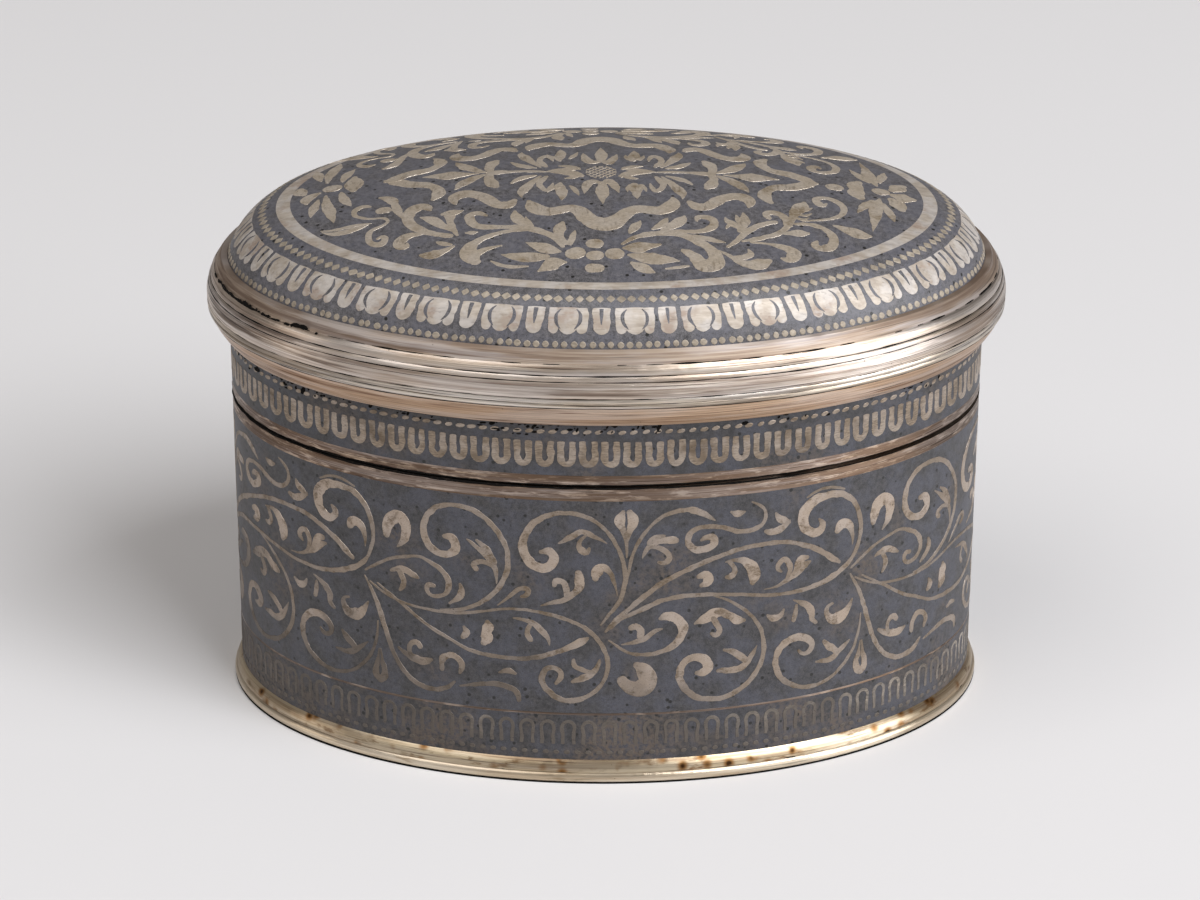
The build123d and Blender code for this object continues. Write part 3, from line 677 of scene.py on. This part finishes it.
def unevenStuds(count, rise, halfAcross, halfUp, place, uneven, **more):
    # Studs evenly round the oval, shifted along and up and lengthened by random draws times the three of uneven
    shift, lift, longer = random.standard_normal((3, count)) * np.array(uneven)[:, None]
    return studs(evenly(count) + shift, rise + lift, halfAcross * (1 + longer), halfUp, place, **more)


dashes = {"count": 177, "height": 3.92, "half": (0.33, 0.2), "slant": 0.45, "uneven": (0.03, 0.02, 0.1)}
shell = unevenStuds(dashes["count"], collarLow + dashes["height"], *dashes["half"], onWall, dashes["uneven"],
                    slant=dashes["slant"])
makePiece("collar_dashes", [shell], silver["collarFigure"], "lid")

# Black pits under the moulding, in clusters
pits = {"count": 260, "clusters": 34, "spread": 1.6, "high": 4.6, "depth": 0.45, "size": 0.095, "uneven": 0.45,
        "long": 1.4, "slant": 0.3, "stand": 0.045}
centres = random.uniform(-perimeter / 2, perimeter / 2, pits["clusters"])
along = centres[random.integers(0, pits["clusters"], pits["count"])]
along += random.normal(0, pits["spread"], pits["count"])
sizes = pits["size"] * random.lognormal(0, pits["uneven"], (2, pits["count"]))
height = collarLow + pits["high"] - np.abs(random.normal(0, pits["depth"], pits["count"]))
shell = studs(along, height, sizes[0] * pits["long"], sizes[1], onWall, pits["slant"], pits["stand"])
makePiece("collar_pits", [shell], residueAndShadow, "lid")

# Black crumbs at the left under the cap wire
crumbs = {"count": 60, "middle": -32, "spread": 3.6, "thickness": 0.09, "size": 0.12, "uneven": 0.5, "long": 1.6,
          "slant": 0.3, "stand": 0.05, "reach": 1.17}


def onCap(along, height, lift):  # at the foot of the cap wire, which stands out from the wall
    return onWall(along, height, lift + crumbs["reach"])


along = random.normal(crumbs["middle"], crumbs["spread"], crumbs["count"])
height = span("lid_reed_wide")[1][2] + random.normal(0, crumbs["thickness"], crumbs["count"])
sizes = crumbs["size"] * random.lognormal(0, crumbs["uneven"], (2, crumbs["count"]))
shell = studs(along, height, sizes[0] * crumbs["long"], sizes[1], onCap, crumbs["slant"], crumbs["stand"])
makePiece("cap_crumbs", [shell], residueAndShadow, "lid")
print("collar done")

# Shoulder of the lid: egg and dart between two rows of beads, placed by reach
shoulder = {"eggs": 30, "firstEgg": 2.0, "bandTop": 29.78, "blunt": (0.1, 1.0), "dartLevel": 4,
            "beadsUneven": (0.04, 0.02, 0.08)}
bandRise = riseAt(shoulder["bandTop"])
eggStrokes = [  # (distance from the egg's middle, distance down from the band's top, width)
    [(-1.18, .1, .98), (-1.18, 1.2, .98), (-1.15, 2.05, .9)], [(0, .1, 1.9), (0, 1.2, 1.9), (0, 1.75, 1.6)],
    [(1.18, .1, .98), (1.18, 1.2, .98), (1.15, 2.05, .9)], [(2.79, .1, 1.56), (2.79, 1, 1.56), (2.79, 1.85, 1.4)],
]
dartStrokes = [  # dark: the two crescents round the egg, the slit of the tongue
    [(-.66, .2, .12), (-.95, .6, .28), (-1.03, 1.15, .36), (-.9, 1.65, .3), (-.6, 2.05, .12)],
    [(.66, .2, .12), (.95, .6, .28), (1.03, 1.15, .36), (.9, 1.65, .3), (.6, 2.05, .12)],
    [(2.79, .15, .4), (2.79, .8, .36), (2.79, 1.6, .14)],
]
shells, darts = [], []
for middle in shoulder["firstEgg"] + evenly(shoulder["eggs"]):
    for strokes, made, level in ((eggStrokes, shells, 0), (dartStrokes, darts, shoulder["dartLevel"])):
        for order, points in enumerate(strokes):
            moved = [(middle + across, bandRise - down, width) for across, down, width in points]
            made.append(stroke(moved, onShoulder, max(order, level), shoulder["blunt"]))
makePiece("shoulder_eggs", shells, silver["ring"], "lid")
makePiece("shoulder_darts", darts, niello["lidNiello"], "lid")

beads = [  # the upper and the lower row: number round the oval, reach, half width across and up, pinch
    (180, 29.0, .4, .43, .2), (223, 31.84, .28, .3, .05),
]
shells = []
for count, reach, halfAcross, halfUp, pinch in beads:
    shells.append(unevenStuds(count, riseAt(reach), halfAcross, halfUp, onShoulder, shoulder["beadsUneven"],
                              pinch=pinch))
makePiece("shoulder_beads", shells, silver["bead"], "lid")
print("shoulder done")

# Field of the lid, as strokes of (x, y, width): the front half, which is also turned to the back, and the middle
field = {
    "axis": (0.1, -0.5, 0.065),  # the long axis of the drawing: its y, and its rise per millimetre left of an x
    "leftShift": -1.0,  # the left side of the middle is the right side turned over: x becomes this minus x
    "leftRise": 0.075,
    "hatching": {"middle": (-.5, 0), "half": (1.3, 1.35), "lines": 3, "gap": 0.3, "reach": 0.94, "width": 0.15},
}
axisStrokes = [  # bud beside the oval, stem and lance
    [(4.2, 0, .15), (3.2, .25, .8), (2.2, .5, .9), (1.5, .8, .7), (1.3, .6, .3)],
    [(3.6, -.1, .3), (2.6, -.2, .8), (1.7, -.5, 1.1), (1.2, -.9, .6)], [(1.5, .9, .4), (2.2, 1.2, .6), (3, 1.35, .2)],
    [(1.4, -.9, .5), (2, -1.3, .6), (2.5, -1.45, .2)],
    [(4.3, .05, .3), (5.6, .2, .5), (7, .2, .5), (8, .15, .9), (8.8, .1, .7)],
    [(9.8, .1, .2), (11, .05, .9), (12.3, 0, 1.8), (13.3, .05, 1.1), (14.4, .1, .2)],
]
quarterStrokes = [  # hook, leaves, arm of the end bracket and slanting scroll
    [(3.55, -2.5, .2), (3.7, -3.3, .5), (4, -3.85, .6), (4.5, -3.3, .6), (4.65, -2.5, .6), (4.4, -1.7, .7),
     (4.1, -1.1, .4)],
    [(4.6, -1, .3), (5.1, -1.9, .6), (5.6, -2.9, .9), (6, -3.8, 1), (6.2, -4.5, .6), (6.15, -5.1, .15)],
    [(5, -.8, .3), (5.7, -1.1, .7), (6.4, -1.6, .7), (7, -2.3, .3)],
    [(8.6, .1, .5), (8.9, -.8, .8), (8.8, -1.7, 1), (8.5, -2.5, 1.1), (8.3, -2.9, .6)],
    [(9.2, -.2, .3), (9.9, -.7, .8), (10.6, -1.4, 1.1), (11.2, -2.2, 1), (11.7, -3.1, .2)],
    [(13.5, -4.75, .5), (13.05, -3.8, 1.2), (13.25, -2.7, 1), (14.1, -1.75, 1.1), (15.4, -1.35, 1.3),
     (16.3, -.75, 1.3), (17, -.2, 1.2), (17.6, .1, .4)],
    [(6.75, -5.7, .6), (7.2, -6.3, 1.2), (7.9, -6.4, 1.2), (8.6, -5.8, 1.2), (9.2, -5, 1.2), (10, -4.35, 1.2),
     (10.9, -4.15, 1.4), (11.6, -4.6, 1.3), (11.75, -5.3, .9), (11.6, -5.9, .3)],
]
halfStrokes = [
    # tulip and buds in front of the oval
    [(-.45, -2.3, .5), (-.45, -3.2, 1), (-.45, -4.2, 1.15), (-.45, -5.2, .75), (-.45, -6.2, .1)],
    [(-.75, -2.2, .5), (-1.3, -2.1, .9), (-1.7, -2.7, .9), (-1.85, -3.5, .6), (-1.95, -4.3, .15)],
    [(-.2, -2.4, .5), (.1, -1.9, .8), (.4, -2.5, .9), (.7, -3.3, .7), (.9, -4.2, .15)],
    [(-3.95, -2.3, .4), (-4, -3, .9), (-3.85, -3.8, 1), (-3.8, -4.6, .8), (-3.85, -5.4, .15)],
    [(-4.1, -3, .5), (-4.6, -3.3, .4), (-5, -3.9, .15)],
    [(-3.1, -2.9, .3), (-2.85, -3.4, .55), (-2.6, -4, .45), (-2.4, -4.7, .1)],
    [(2.2, -2.7, .7), (2.3, -3.4, 1.1), (2.4, -4.2, .9), (2.4, -4.9, .5), (2.4, -5.3, .1)],
    [(1.9, -2.9, .6), (1.65, -3.5, .4), (1.65, -4.1, .1)], [(2.8, -2.9, .6), (3.1, -3.5, .4), (3.2, -4, .1)],
    # bracket
    [(-6.55, -5.5, .5), (-6.25, -6.3, 1.3), (-5.6, -7.1, 1.5), (-4.7, -7.35, 1.3), (-3.9, -7.1, 1.2),
     (-3.1, -6.95, 1.25), (-2.4, -7.4, 1.4), (-1.9, -8.3, 1.6), (-1.3, -9.1, 1.8), (-.4, -9.55, 2), (.5, -9.1, 1.8),
     (1.1, -8.3, 1.5), (1.7, -7.5, 1.3), (2.5, -7.1, 1.2), (3.5, -7.25, 1.3), (4.4, -7.2, 1.4), (5, -6.6, 1.4),
     (5.4, -5.8, 1.2), (5.35, -5.1, .4)],
    # flower in front, then its leaves to the right and to the left
    [(-1.3, -13.9, 1.3), (-1.1, -13.9, 1.3)], [(-1.3, -12.3, 1.3), (-1.1, -12.3, 1.3)],
    [(-2.9, -13.6, 1.5), (-2.7, -13.5, 1.5)], [(.3, -13.7, 1.4), (.5, -13.7, 1.4)],
    [(-1.5, -15.5, 1.1), (-1, -15.5, 1.1)],
    [(1.2, -12.95, .4), (2.2, -12.85, 1.4), (3.3, -12.6, .9), (4.1, -12.4, .3)],
    [(1.6, -13.9, .4), (2.5, -14.1, 1.2), (3.5, -14.3, 1.5), (4.7, -14.4, .9), (5.6, -14.5, .15)],
    [(1.8, -14.9, .4), (2.3, -15.3, 1), (2.8, -15.6, 1.1), (3.5, -16, .3)],
    [(4.5, -15.55, .2), (5.4, -15.35, .4), (6.3, -15.1, .25)],
    [(-6.75, -11.9, .15), (-5.9, -12.4, 1), (-5, -12.9, 1.3), (-4.05, -13.3, .3)],
    [(-8.75, -13.35, .15), (-7.6, -13.7, 1), (-6.4, -13.9, 1.3), (-5.2, -13.9, .7)],
    [(-5.8, -15.7, .2), (-5.1, -15.2, 1.2), (-4.4, -14.75, 1.5), (-3.6, -14.7, .3)],
    [(-9.6, -14.1, .2), (-8.6, -14.8, .45), (-6.65, -15.05, .2)],
    # sprays to the right of the flower
    [(1.05, -12.4, .3), (2, -11.5, .5), (3.3, -10.95, .7), (4.6, -10.75, .7), (5.6, -10.8, .8), (7, -11.6, .9),
     (8.15, -12.7, 1), (8.6, -13.8, 1.3), (8.3, -14.8, 1.6), (7.6, -15, 1.5), (7.1, -14.3, 1.2), (6.6, -13.6, .9),
     (5.95, -13.1, .4)],
    [(2.8, -11.1, .2), (4.7, -10.5, .5), (6.6, -10.4, .5), (7.95, -10.05, .7), (8.6, -9.3, .8), (8.6, -8.55, .8),
     (7.95, -8.05, .7), (7.35, -8.2, .6), (7.2, -8.7, .3)],
    [(4.3, -10.3, .3), (5, -9.8, .9), (5.6, -9.2, 1.1), (6.1, -8.4, .8), (6.2, -8.1, .3)],
    [(3.55, -10.2, .3), (4.2, -9.6, .8), (4.6, -8.9, .6), (4.8, -8.5, .2)],
    [(1.7, -10.8, .3), (2, -10.1, .9), (2.4, -9.4, .6), (2.55, -9.05, .2)],
    [(6.8, -10.95, .3), (7.6, -11.2, .6), (8.6, -11.5, .6), (9.4, -11.7, .15)],
    [(8.9, -12.9, .2), (9.7, -13.5, .4), (10.4, -14.1, .7), (11.3, -14.5, 1), (12.3, -14.2, 1.3), (12.9, -13.8, .6)],
    [(10.1, -13.6, .3), (11, -13.5, .7), (11.45, -13.1, .6), (11.3, -12.5, .25)],
    [(9.6, -12.3, .3), (10.5, -11.2, .55), (11.4, -9.8, .65), (12.4, -8.75, .65), (13.7, -8.05, .5)],
    [(10.9, -11.35, .3), (12.2, -10.8, .6), (13.5, -10.1, .6), (14.3, -9.3, .6), (14.8, -8.4, .6)],
    [(14.7, -8.5, .6), (14.6, -7.4, .8), (14.1, -6.7, .8), (13.4, -6.55, .8), (12.95, -6.95, .7), (13.2, -7.5, .5)],
    [(14.9, -8.4, .4), (15.2, -7, .7), (15.6, -5.8, 1.2), (16.1, -4.9, 1.3), (16.3, -4.2, .4)],
    [(15.9, -5.6, .3), (16.4, -5.5, .4), (16.9, -5, .15)], [(15.7, -6.4, .3), (16.2, -6.5, .4), (16.8, -6, .15)],
    [(15.5, -7, .3), (16, -7.2, .4), (16.5, -6.8, .15)],
    [(10.7, -9.9, .5), (11, -9, .9), (11.2, -8, .9), (11.1, -7.1, .3)],
    [(10.7, -9.3, .5), (10.2, -8.9, .8), (9.7, -8.4, .5), (9.6, -8, .2)],
    [(10.5, -9.3, .5), (9.9, -9.1, .5), (9.6, -9.6, .2)], [(10.7, -8.7, .3), (10.6, -8, .5), (10.5, -7.5, .2)],
    [(13.9, -9.8, .3), (15, -9.55, .8), (15.8, -9.4, 1), (16.3, -9.3, .4)],
    [(11.6, -11.4, .3), (13.35, -11.5, .4), (14.4, -11.85, .9), (15, -12.4, 1.2), (14.9, -13, 1.2), (14.4, -13.4, .7),
     (14, -13.3, .3)],
    [(15.3, -8.05, .3), (16.8, -7.9, .6), (17.8, -8.4, .7), (18.4, -9.5, .8), (18.3, -10.6, .9), (17.7, -11.25, .9),
     (17.1, -11.3, .8), (16.85, -10.9, .7), (17, -10.4, .3)],
    [(16, -7.4, .25), (17.8, -6.8, .35), (18.9, -6.1, .45), (19.5, -5.1, .6), (19.5, -3.9, .7), (18.9, -3.05, .7),
     (18.1, -2.8, .6), (17.5, -3.05, .7), (17.4, -3.7, .8), (17.8, -4.25, .7), (18.15, -3.9, .3)],
    [(18.6, -7.6, .3), (19.4, -7.9, .9), (20.3, -8.3, 1.5), (21, -8.5, 1.2), (21.5, -8.5, .4)],
    # leaves of the flowers at the two ends
    [(22.8, -1.4, .3), (22.4, -3.3, 1.2), (22.15, -5.3, .9), (21.8, -7.6, .1)],
    [(22.2, -2, .4), (21.6, -3, .9), (21.1, -3.9, .6), (20.75, -4.7, .15)],
    [(23.1, -2.4, .4), (23.4, -3.6, .8), (23.6, -4.5, .7), (23.75, -5.3, .2)],
    [(-23.6, 0, .3), (-23.5, -1.5, .8), (-23.2, -3.2, 1.1), (-22.9, -4.4, .8), (-22.7, -5.6, .1)],
    [(-24.2, -.7, .3), (-24.4, -1.8, .9), (-24.6, -2.9, .8), (-24.7, -3.8, .2)],
    [(-22.3, .2, .3), (-22.1, -1, .9), (-21.8, -2, .8), (-21.4, -2.9, .2)],
    # sprays to the left of the flower
    [(-3.8, -12.6, .4), (-4.9, -10.9, .7), (-6.5, -9.9, .75), (-8, -9.5, .6), (-9.7, -9.3, .7), (-10.9, -8.9, .8),
     (-11.4, -7.95, .9), (-11.3, -7.1, .8), (-10.7, -6.95, .6), (-10.1, -7.4, .4)],
    [(-6.3, -10.1, .3), (-8.2, -10.1, .5), (-9.5, -10.5, .6), (-10.7, -11.2, .8), (-11.4, -12.2, 1.3),
     (-11.3, -13.2, 1.7), (-10.9, -14, .9)], [(-10.9, -13, 1), (-9.9, -12.4, .5), (-8.8, -12.1, .2)],
    [(-6.3, -9.7, .4), (-7.2, -8.7, 1), (-7.6, -7.9, 1), (-7.7, -7.1, .4)],
    [(-6.3, -9.6, .4), (-6.65, -8.7, .5), (-6.8, -8.1, .2)],
    [(-3.6, -12.2, .5), (-4.1, -10.7, .9), (-4, -9.9, 1.1), (-3.8, -9.2, .4)],
    [(-3.2, -12.2, .6), (-3, -11.3, .6), (-2.8, -10.5, .2)],
    [(-12.4, -10.1, .3), (-12.8, -8.9, .6), (-13, -7.8, .7), (-13.1, -6.9, 1)],
    [(-13.6, -6.6, .5), (-13, -6.5, 1), (-12.3, -6.4, .6), (-12, -6.3, .2)],
    [(-12.6, -9.5, .4), (-13.8, -8.2, .9), (-14.6, -7.3, 1), (-15.4, -6.8, .3)],
    [(-13, -10.1, .6), (-14.5, -9.5, .7), (-15.7, -8.5, .9), (-16.4, -7.4, 1), (-16.5, -6.1, 1.1), (-16.1, -5.3, 1.2),
     (-15.4, -4.9, 1.2), (-14.95, -5.2, .9), (-14.7, -5.7, .3)],
    [(-16.85, -6.6, .3), (-17.4, -5.1, .7), (-17.7, -3.8, .8), (-18.2, -2.7, 1), (-18.9, -2.2, .4)],
    [(-18.7, -4.7, 1.15), (-18.5, -4.7, 1.15)], [(-18.4, -4.7, .5), (-17.6, -4.9, .4)],
    [(-14.7, -9.3, .3), (-15.7, -9.35, .6), (-16.6, -9.6, .9), (-17.1, -10.2, 1.1), (-17, -10.9, 1), (-16.6, -11, .7),
     (-16.5, -10.6, .3)], [(-14, -10.9, .3), (-13.5, -11.2, .6), (-12.9, -11.4, .3)],
    [(-12.7, -11.7, .3), (-13.6, -12.3, .8), (-14.5, -12.6, 1.1), (-15.3, -12.5, .4)],
    [(-19.75, -3.7, .3), (-20.3, -3.5, .7), (-20.95, -3.9, .6), (-21, -4.8, .5), (-20.3, -5.6, .4),
     (-19.35, -5.95, .3), (-18.4, -6.2, .35), (-18.2, -6.8, .35), (-18.75, -7.4, .4), (-19.5, -7.9, .5),
     (-19.7, -8.75, .6), (-19.5, -9.8, .7), (-18.8, -10.2, .8), (-18.35, -9.6, .7), (-18.6, -9.1, .5),
     (-18.95, -9.3, .3)],
    [(-23.7, -6.7, .15), (-22.8, -6.9, .4), (-21.7, -6.8, .5), (-20.6, -6.65, .4), (-19.6, -6.7, .15)],
    [(-23.6, -6.95, .15), (-22.8, -7.45, .5), (-21.7, -7.55, .8), (-20.6, -7.2, .6), (-19.8, -6.85, .15)],
    [(-11.7, -9.9, .2), (-11.2, -9.95, .6), (-10.8, -9.9, .2)],
]
endStrokes = [  # hearts and petals of the flowers at the two ends
    [(22.95, .3, 1.4), (23.15, .3, 1.4)], [(19, -.2, 1.4), (19.2, -.2, 1.4)],
    [(21.25, 1.7, .8), (20.9, .9, 1.5), (21, 0, 1.3), (20.9, -.9, 1.5), (21.2, -1.7, .8)],
    [(24.1, 1.1, .8), (24.7, 1.9, 1.5), (25.1, 2.5, .7)], [(24.2, -.1, .9), (25, -.3, 1.8), (25.6, -.3, .9)],
    [(23.9, -1.1, .8), (24.3, -1.9, 1.6), (24.6, -2.8, .8)], [(-23.2, 1.5, 1.5), (-23, 1.5, 1.5)],
    [(-21.3, 3.5, .5), (-21.3, 2.4, 1.5), (-21.3, 1.2, 1.6), (-21.3, .2, .6)],
    [(-25.9, 2.6, .7), (-25.8, 1.85, 1.3), (-25.5, 1.2, .6)],
    [(-24.2, .9, .4), (-24.8, .5, 1.1), (-25.2, -.2, 1.2), (-25.2, -1, .4)],
]


def toLeft(strokes):  # the middle's right side turned over to the left
    shift, rise = field["leftShift"], field["leftRise"]
    return [[(shift - x, y + rise * x, width) for x, y, width in points] for points in strokes]


def toBack(strokes):  # the front half turned over the long axis
    level, corner, rise = field["axis"]
    return [[(x, 2 * (level + rise * max(corner - x, 0)) - y, width) for x, y, width in points] for points in strokes]


front = halfStrokes + quarterStrokes + toLeft(quarterStrokes)
whole = front + toBack(front) + axisStrokes + toLeft(axisStrokes) + endStrokes
shells = [stroke(points, onDome, order) for order, points in enumerate(whole)]
hatch = field["hatching"]
for slant in (1, -1):
    for step in range(-hatch["lines"], hatch["lines"] + 1):
        # A chord at 45 degrees in the oval's own unit circle: at distance d from its middle it is 2 sqrt(1 - d^2) long
        distance, chord = step * hatch["gap"], []
        reach = math.sqrt(1 - distance**2) * hatch["reach"]
        for side in (-1, 0, 1):
            u, v = slant * (distance - side * reach) * math.sqrt(0.5), (distance + side * reach) * math.sqrt(0.5)
            x, y = (middle + share * half for middle, share, half in zip(hatch["middle"], (u, v), hatch["half"]))
            chord.append((x, y, hatch["width"]))
        shells.append(stroke(chord, onDome, step % 2 + slant + 1))
makePiece("dome_field_figures", shells, silver["lidFigure"], "lid")

# Dark rings in the seams, each small and irregular: residue where two drawn wires of the moulding meet and where the
# foot wire meets the foot ring, and painted shadow in the gap between lid and box and along the foot ring's contact
# with the floor
seams = [  # node, its upper end (1) or lower (0), rise, reach beyond the wall, thickness, unevenness, lean, body
    ("lid_cove_wire", 1, 0, 1.66, 0.05, 0.3, 0, "lid"), ("lid_thread_lower", 1, 0, 1.76, 0.03, 0.5, 0, "lid"),
    ("lid_thread_upper", 1, 0, 1.79, 0.04, 0.5, 0, "lid"), ("lid_band_wire", 1, 0, 1.67, 0.05, 0.3, 0, "lid"),
    ("lid_reed_narrow", 1, 0, 1.47, 0.05, 0.5, 0, "lid"), ("lid_reed_wide", 1, 0, 1.09, 0.05, 0.7, -0.3, "lid"),
    # Painted shadow in the gap between lid and box: this row and the two body_wall rows below, thicker on the left by
    # their lean
    ("lid_collar", 0, 0.01, -0.05, 0.09, 0.15, 0.7, "lid"),
    ("body_wall", 1, 0.1, -0.9, 0.13, 0.15, 0, "box"), ("body_wall", 1, -0.01, -0.07, 0.11, 0.15, 0.8, "box"),
    # Painted contact shadow along the foot ring's edge on the floor, then residue where the foot wire meets the ring
    ("foot_ring", 0, 0.09, 0.61, 0.09, 0.0, 0, "box"), ("foot_wire", 0, 0.03, 0.4, 0.06, 0.8, -0.3, "box"),
]
seamRing = {"sections": 360, "corners": 6, "waves": (7, 17, 41, 73), "sink": 0.02, "thinnest": 0.25}


def seamShell(node, high, rise, reach, thickness, uneven, lean):
    # A ring round the oval whose radius is thickness times one plus a sum of four waves with random phases,
    # and times one plus the lean on the left, minus it on the right
    sections, corners = seamRing["sections"], seamRing["corners"]
    around, section = np.meshgrid(np.linspace(0, 2 * math.pi, sections + 1)[:-1],
                                  np.linspace(0, 2 * math.pi, corners + 1)[:-1], indexing="ij")
    phases = random.uniform(0, 2 * math.pi, len(seamRing["waves"]))
    waves = sum(np.sin(count * around + phase) for count, phase in zip(seamRing["waves"], phases)) / 2
    radius = thickness * np.maximum(1 + uneven * waves, seamRing["thinnest"]) * (1 - lean * np.sin(around))
    out = reach - seamRing["sink"] + radius * np.cos(section) + lean * thickness * np.sin(around)
    up = span(node)[high][2] + rise + radius * np.sin(section)
    return withBreadth(onOval(around, up, out).reshape(-1, 3), 0), tube(sections, corners, closed=True), []


shells = {"lid": [], "box": []}
for *shape, body in seams:
    shells[body].append(seamShell(*shape))
# The lid's rings hold residue and painted seam shadow; the box's hold painted shadow in the seam and under the foot
# ring, and the foot wire's residue
makePiece("moulding_residue_and_seam_shadow", shells["lid"], residueAndShadow, "lid", smooth=True)
makePiece("box_seam_shadow_and_residue", shells["box"], residueAndShadow, "box", smooth=True)
print("ornament done")

# Floor, soft light and camera
stageLook = {"floor": srgb(218, 217, 218), "floorSize": 4.0, "world": srgb(206, 201, 197), "worldStrength": 0.38}
bpy.ops.mesh.primitive_plane_add(size=stageLook["floorSize"])
floor = bpy.context.object
floor.name = "floor"
floorMaterial = bpy.data.materials.new("floorPaper")
floorMaterial.use_nodes = True
floorShader = floorMaterial.node_tree.nodes["Principled BSDF"]
for key, value in (("Base Color", opaque(stageLook["floor"])), ("Roughness", 0.8), ("Specular IOR Level", 0.1)):
    floorShader.inputs[key].default_value = value
floor.data.materials.append(floorMaterial)

world = bpy.data.worlds.new("studio")
bpy.context.scene.world = world
world.use_nodes = True
world.node_tree.nodes["Background"].inputs["Color"].default_value = opaque(stageLook["world"])
world.node_tree.nodes["Background"].inputs["Strength"].default_value = stageLook["worldStrength"]

lamps = {  # azimuth from the front towards +X, elevation, distance and size in metres, watts, colour
    "key": {"azimuth": 42, "elevation": 48, "distance": 1.6, "size": 0.86, "power": 21.0, "colour": (0.97, 0.98, 1.0)},
    "side": {"azimuth": 63, "elevation": 14, "distance": 1.2, "size": 0.7, "power": 9.0, "colour": (0.97, 0.98, 1.0)},
    "top": {"azimuth": -45, "elevation": 60, "distance": 1.2, "size": 0.7, "power": 3.9, "colour": (1.0, 0.98, 0.96)},
    "left": {"azimuth": -76, "elevation": 12, "distance": 0.9, "size": 0.3, "power": 0.5, "colour": (1.0, 0.94, 0.88)},
}
aim = Vector((0, 0, 0.02))  # of every lamp, in metres
for name, lamp in lamps.items():
    azimuth, elevation = math.radians(lamp["azimuth"]), math.radians(lamp["elevation"])
    across = math.cos(elevation)
    away = Vector((math.sin(azimuth) * across, -math.cos(azimuth) * across, math.sin(elevation)))
    light = bpy.data.lights.new(name, "AREA")
    light.size, light.energy, light.color = lamp["size"], lamp["power"], lamp["colour"]
    holder = bpy.data.objects.new(name, light)
    holder.location = aim + away * lamp["distance"]
    holder.rotation_mode = "QUATERNION"
    holder.rotation_quaternion = away.to_track_quat("Z", "Y")
    holder.visible_camera = False
    bpy.context.scene.collection.objects.link(holder)

# The photograph's view, in millimetres, degrees and pixels: the box stands turned by a degree to it
view = {"imageWidth": 1200, "focalPixels": 4107.7, "distance": 355.28, "elevation": 25.508, "roll": 0.174,
        "aimX": -0.518, "aimZ": 20.83, "boxTurn": 0.959}
tilt, roll = math.radians(view["elevation"]), math.radians(view["roll"])
forward = Vector((0, math.cos(tilt), -math.sin(tilt)))
sideways = Vector((1, 0, 0))
upright = sideways.cross(forward)
right = math.cos(roll) * sideways + math.sin(roll) * upright
up = -math.sin(roll) * sideways + math.cos(roll) * upright
position = Vector((view["aimX"], 0, view["aimZ"])) - forward * view["distance"]
camera = bpy.data.cameras.new("camera")
camera.sensor_width = 36.0
camera.lens = view["focalPixels"] * camera.sensor_width / view["imageWidth"]
camera.clip_start = 0.01
cameraObject = bpy.data.objects.new("camera", camera)
placed = Matrix((right, up, -forward)).transposed().to_4x4()
placed.translation = position * mm
cameraObject.matrix_world = Matrix.Rotation(-math.radians(view["boxTurn"]), 4, "Z") @ placed
bpy.context.scene.collection.objects.link(cameraObject)
bpy.context.scene.camera = cameraObject
bpy.context.scene.view_settings.view_transform = "Standard"

print("scene done")
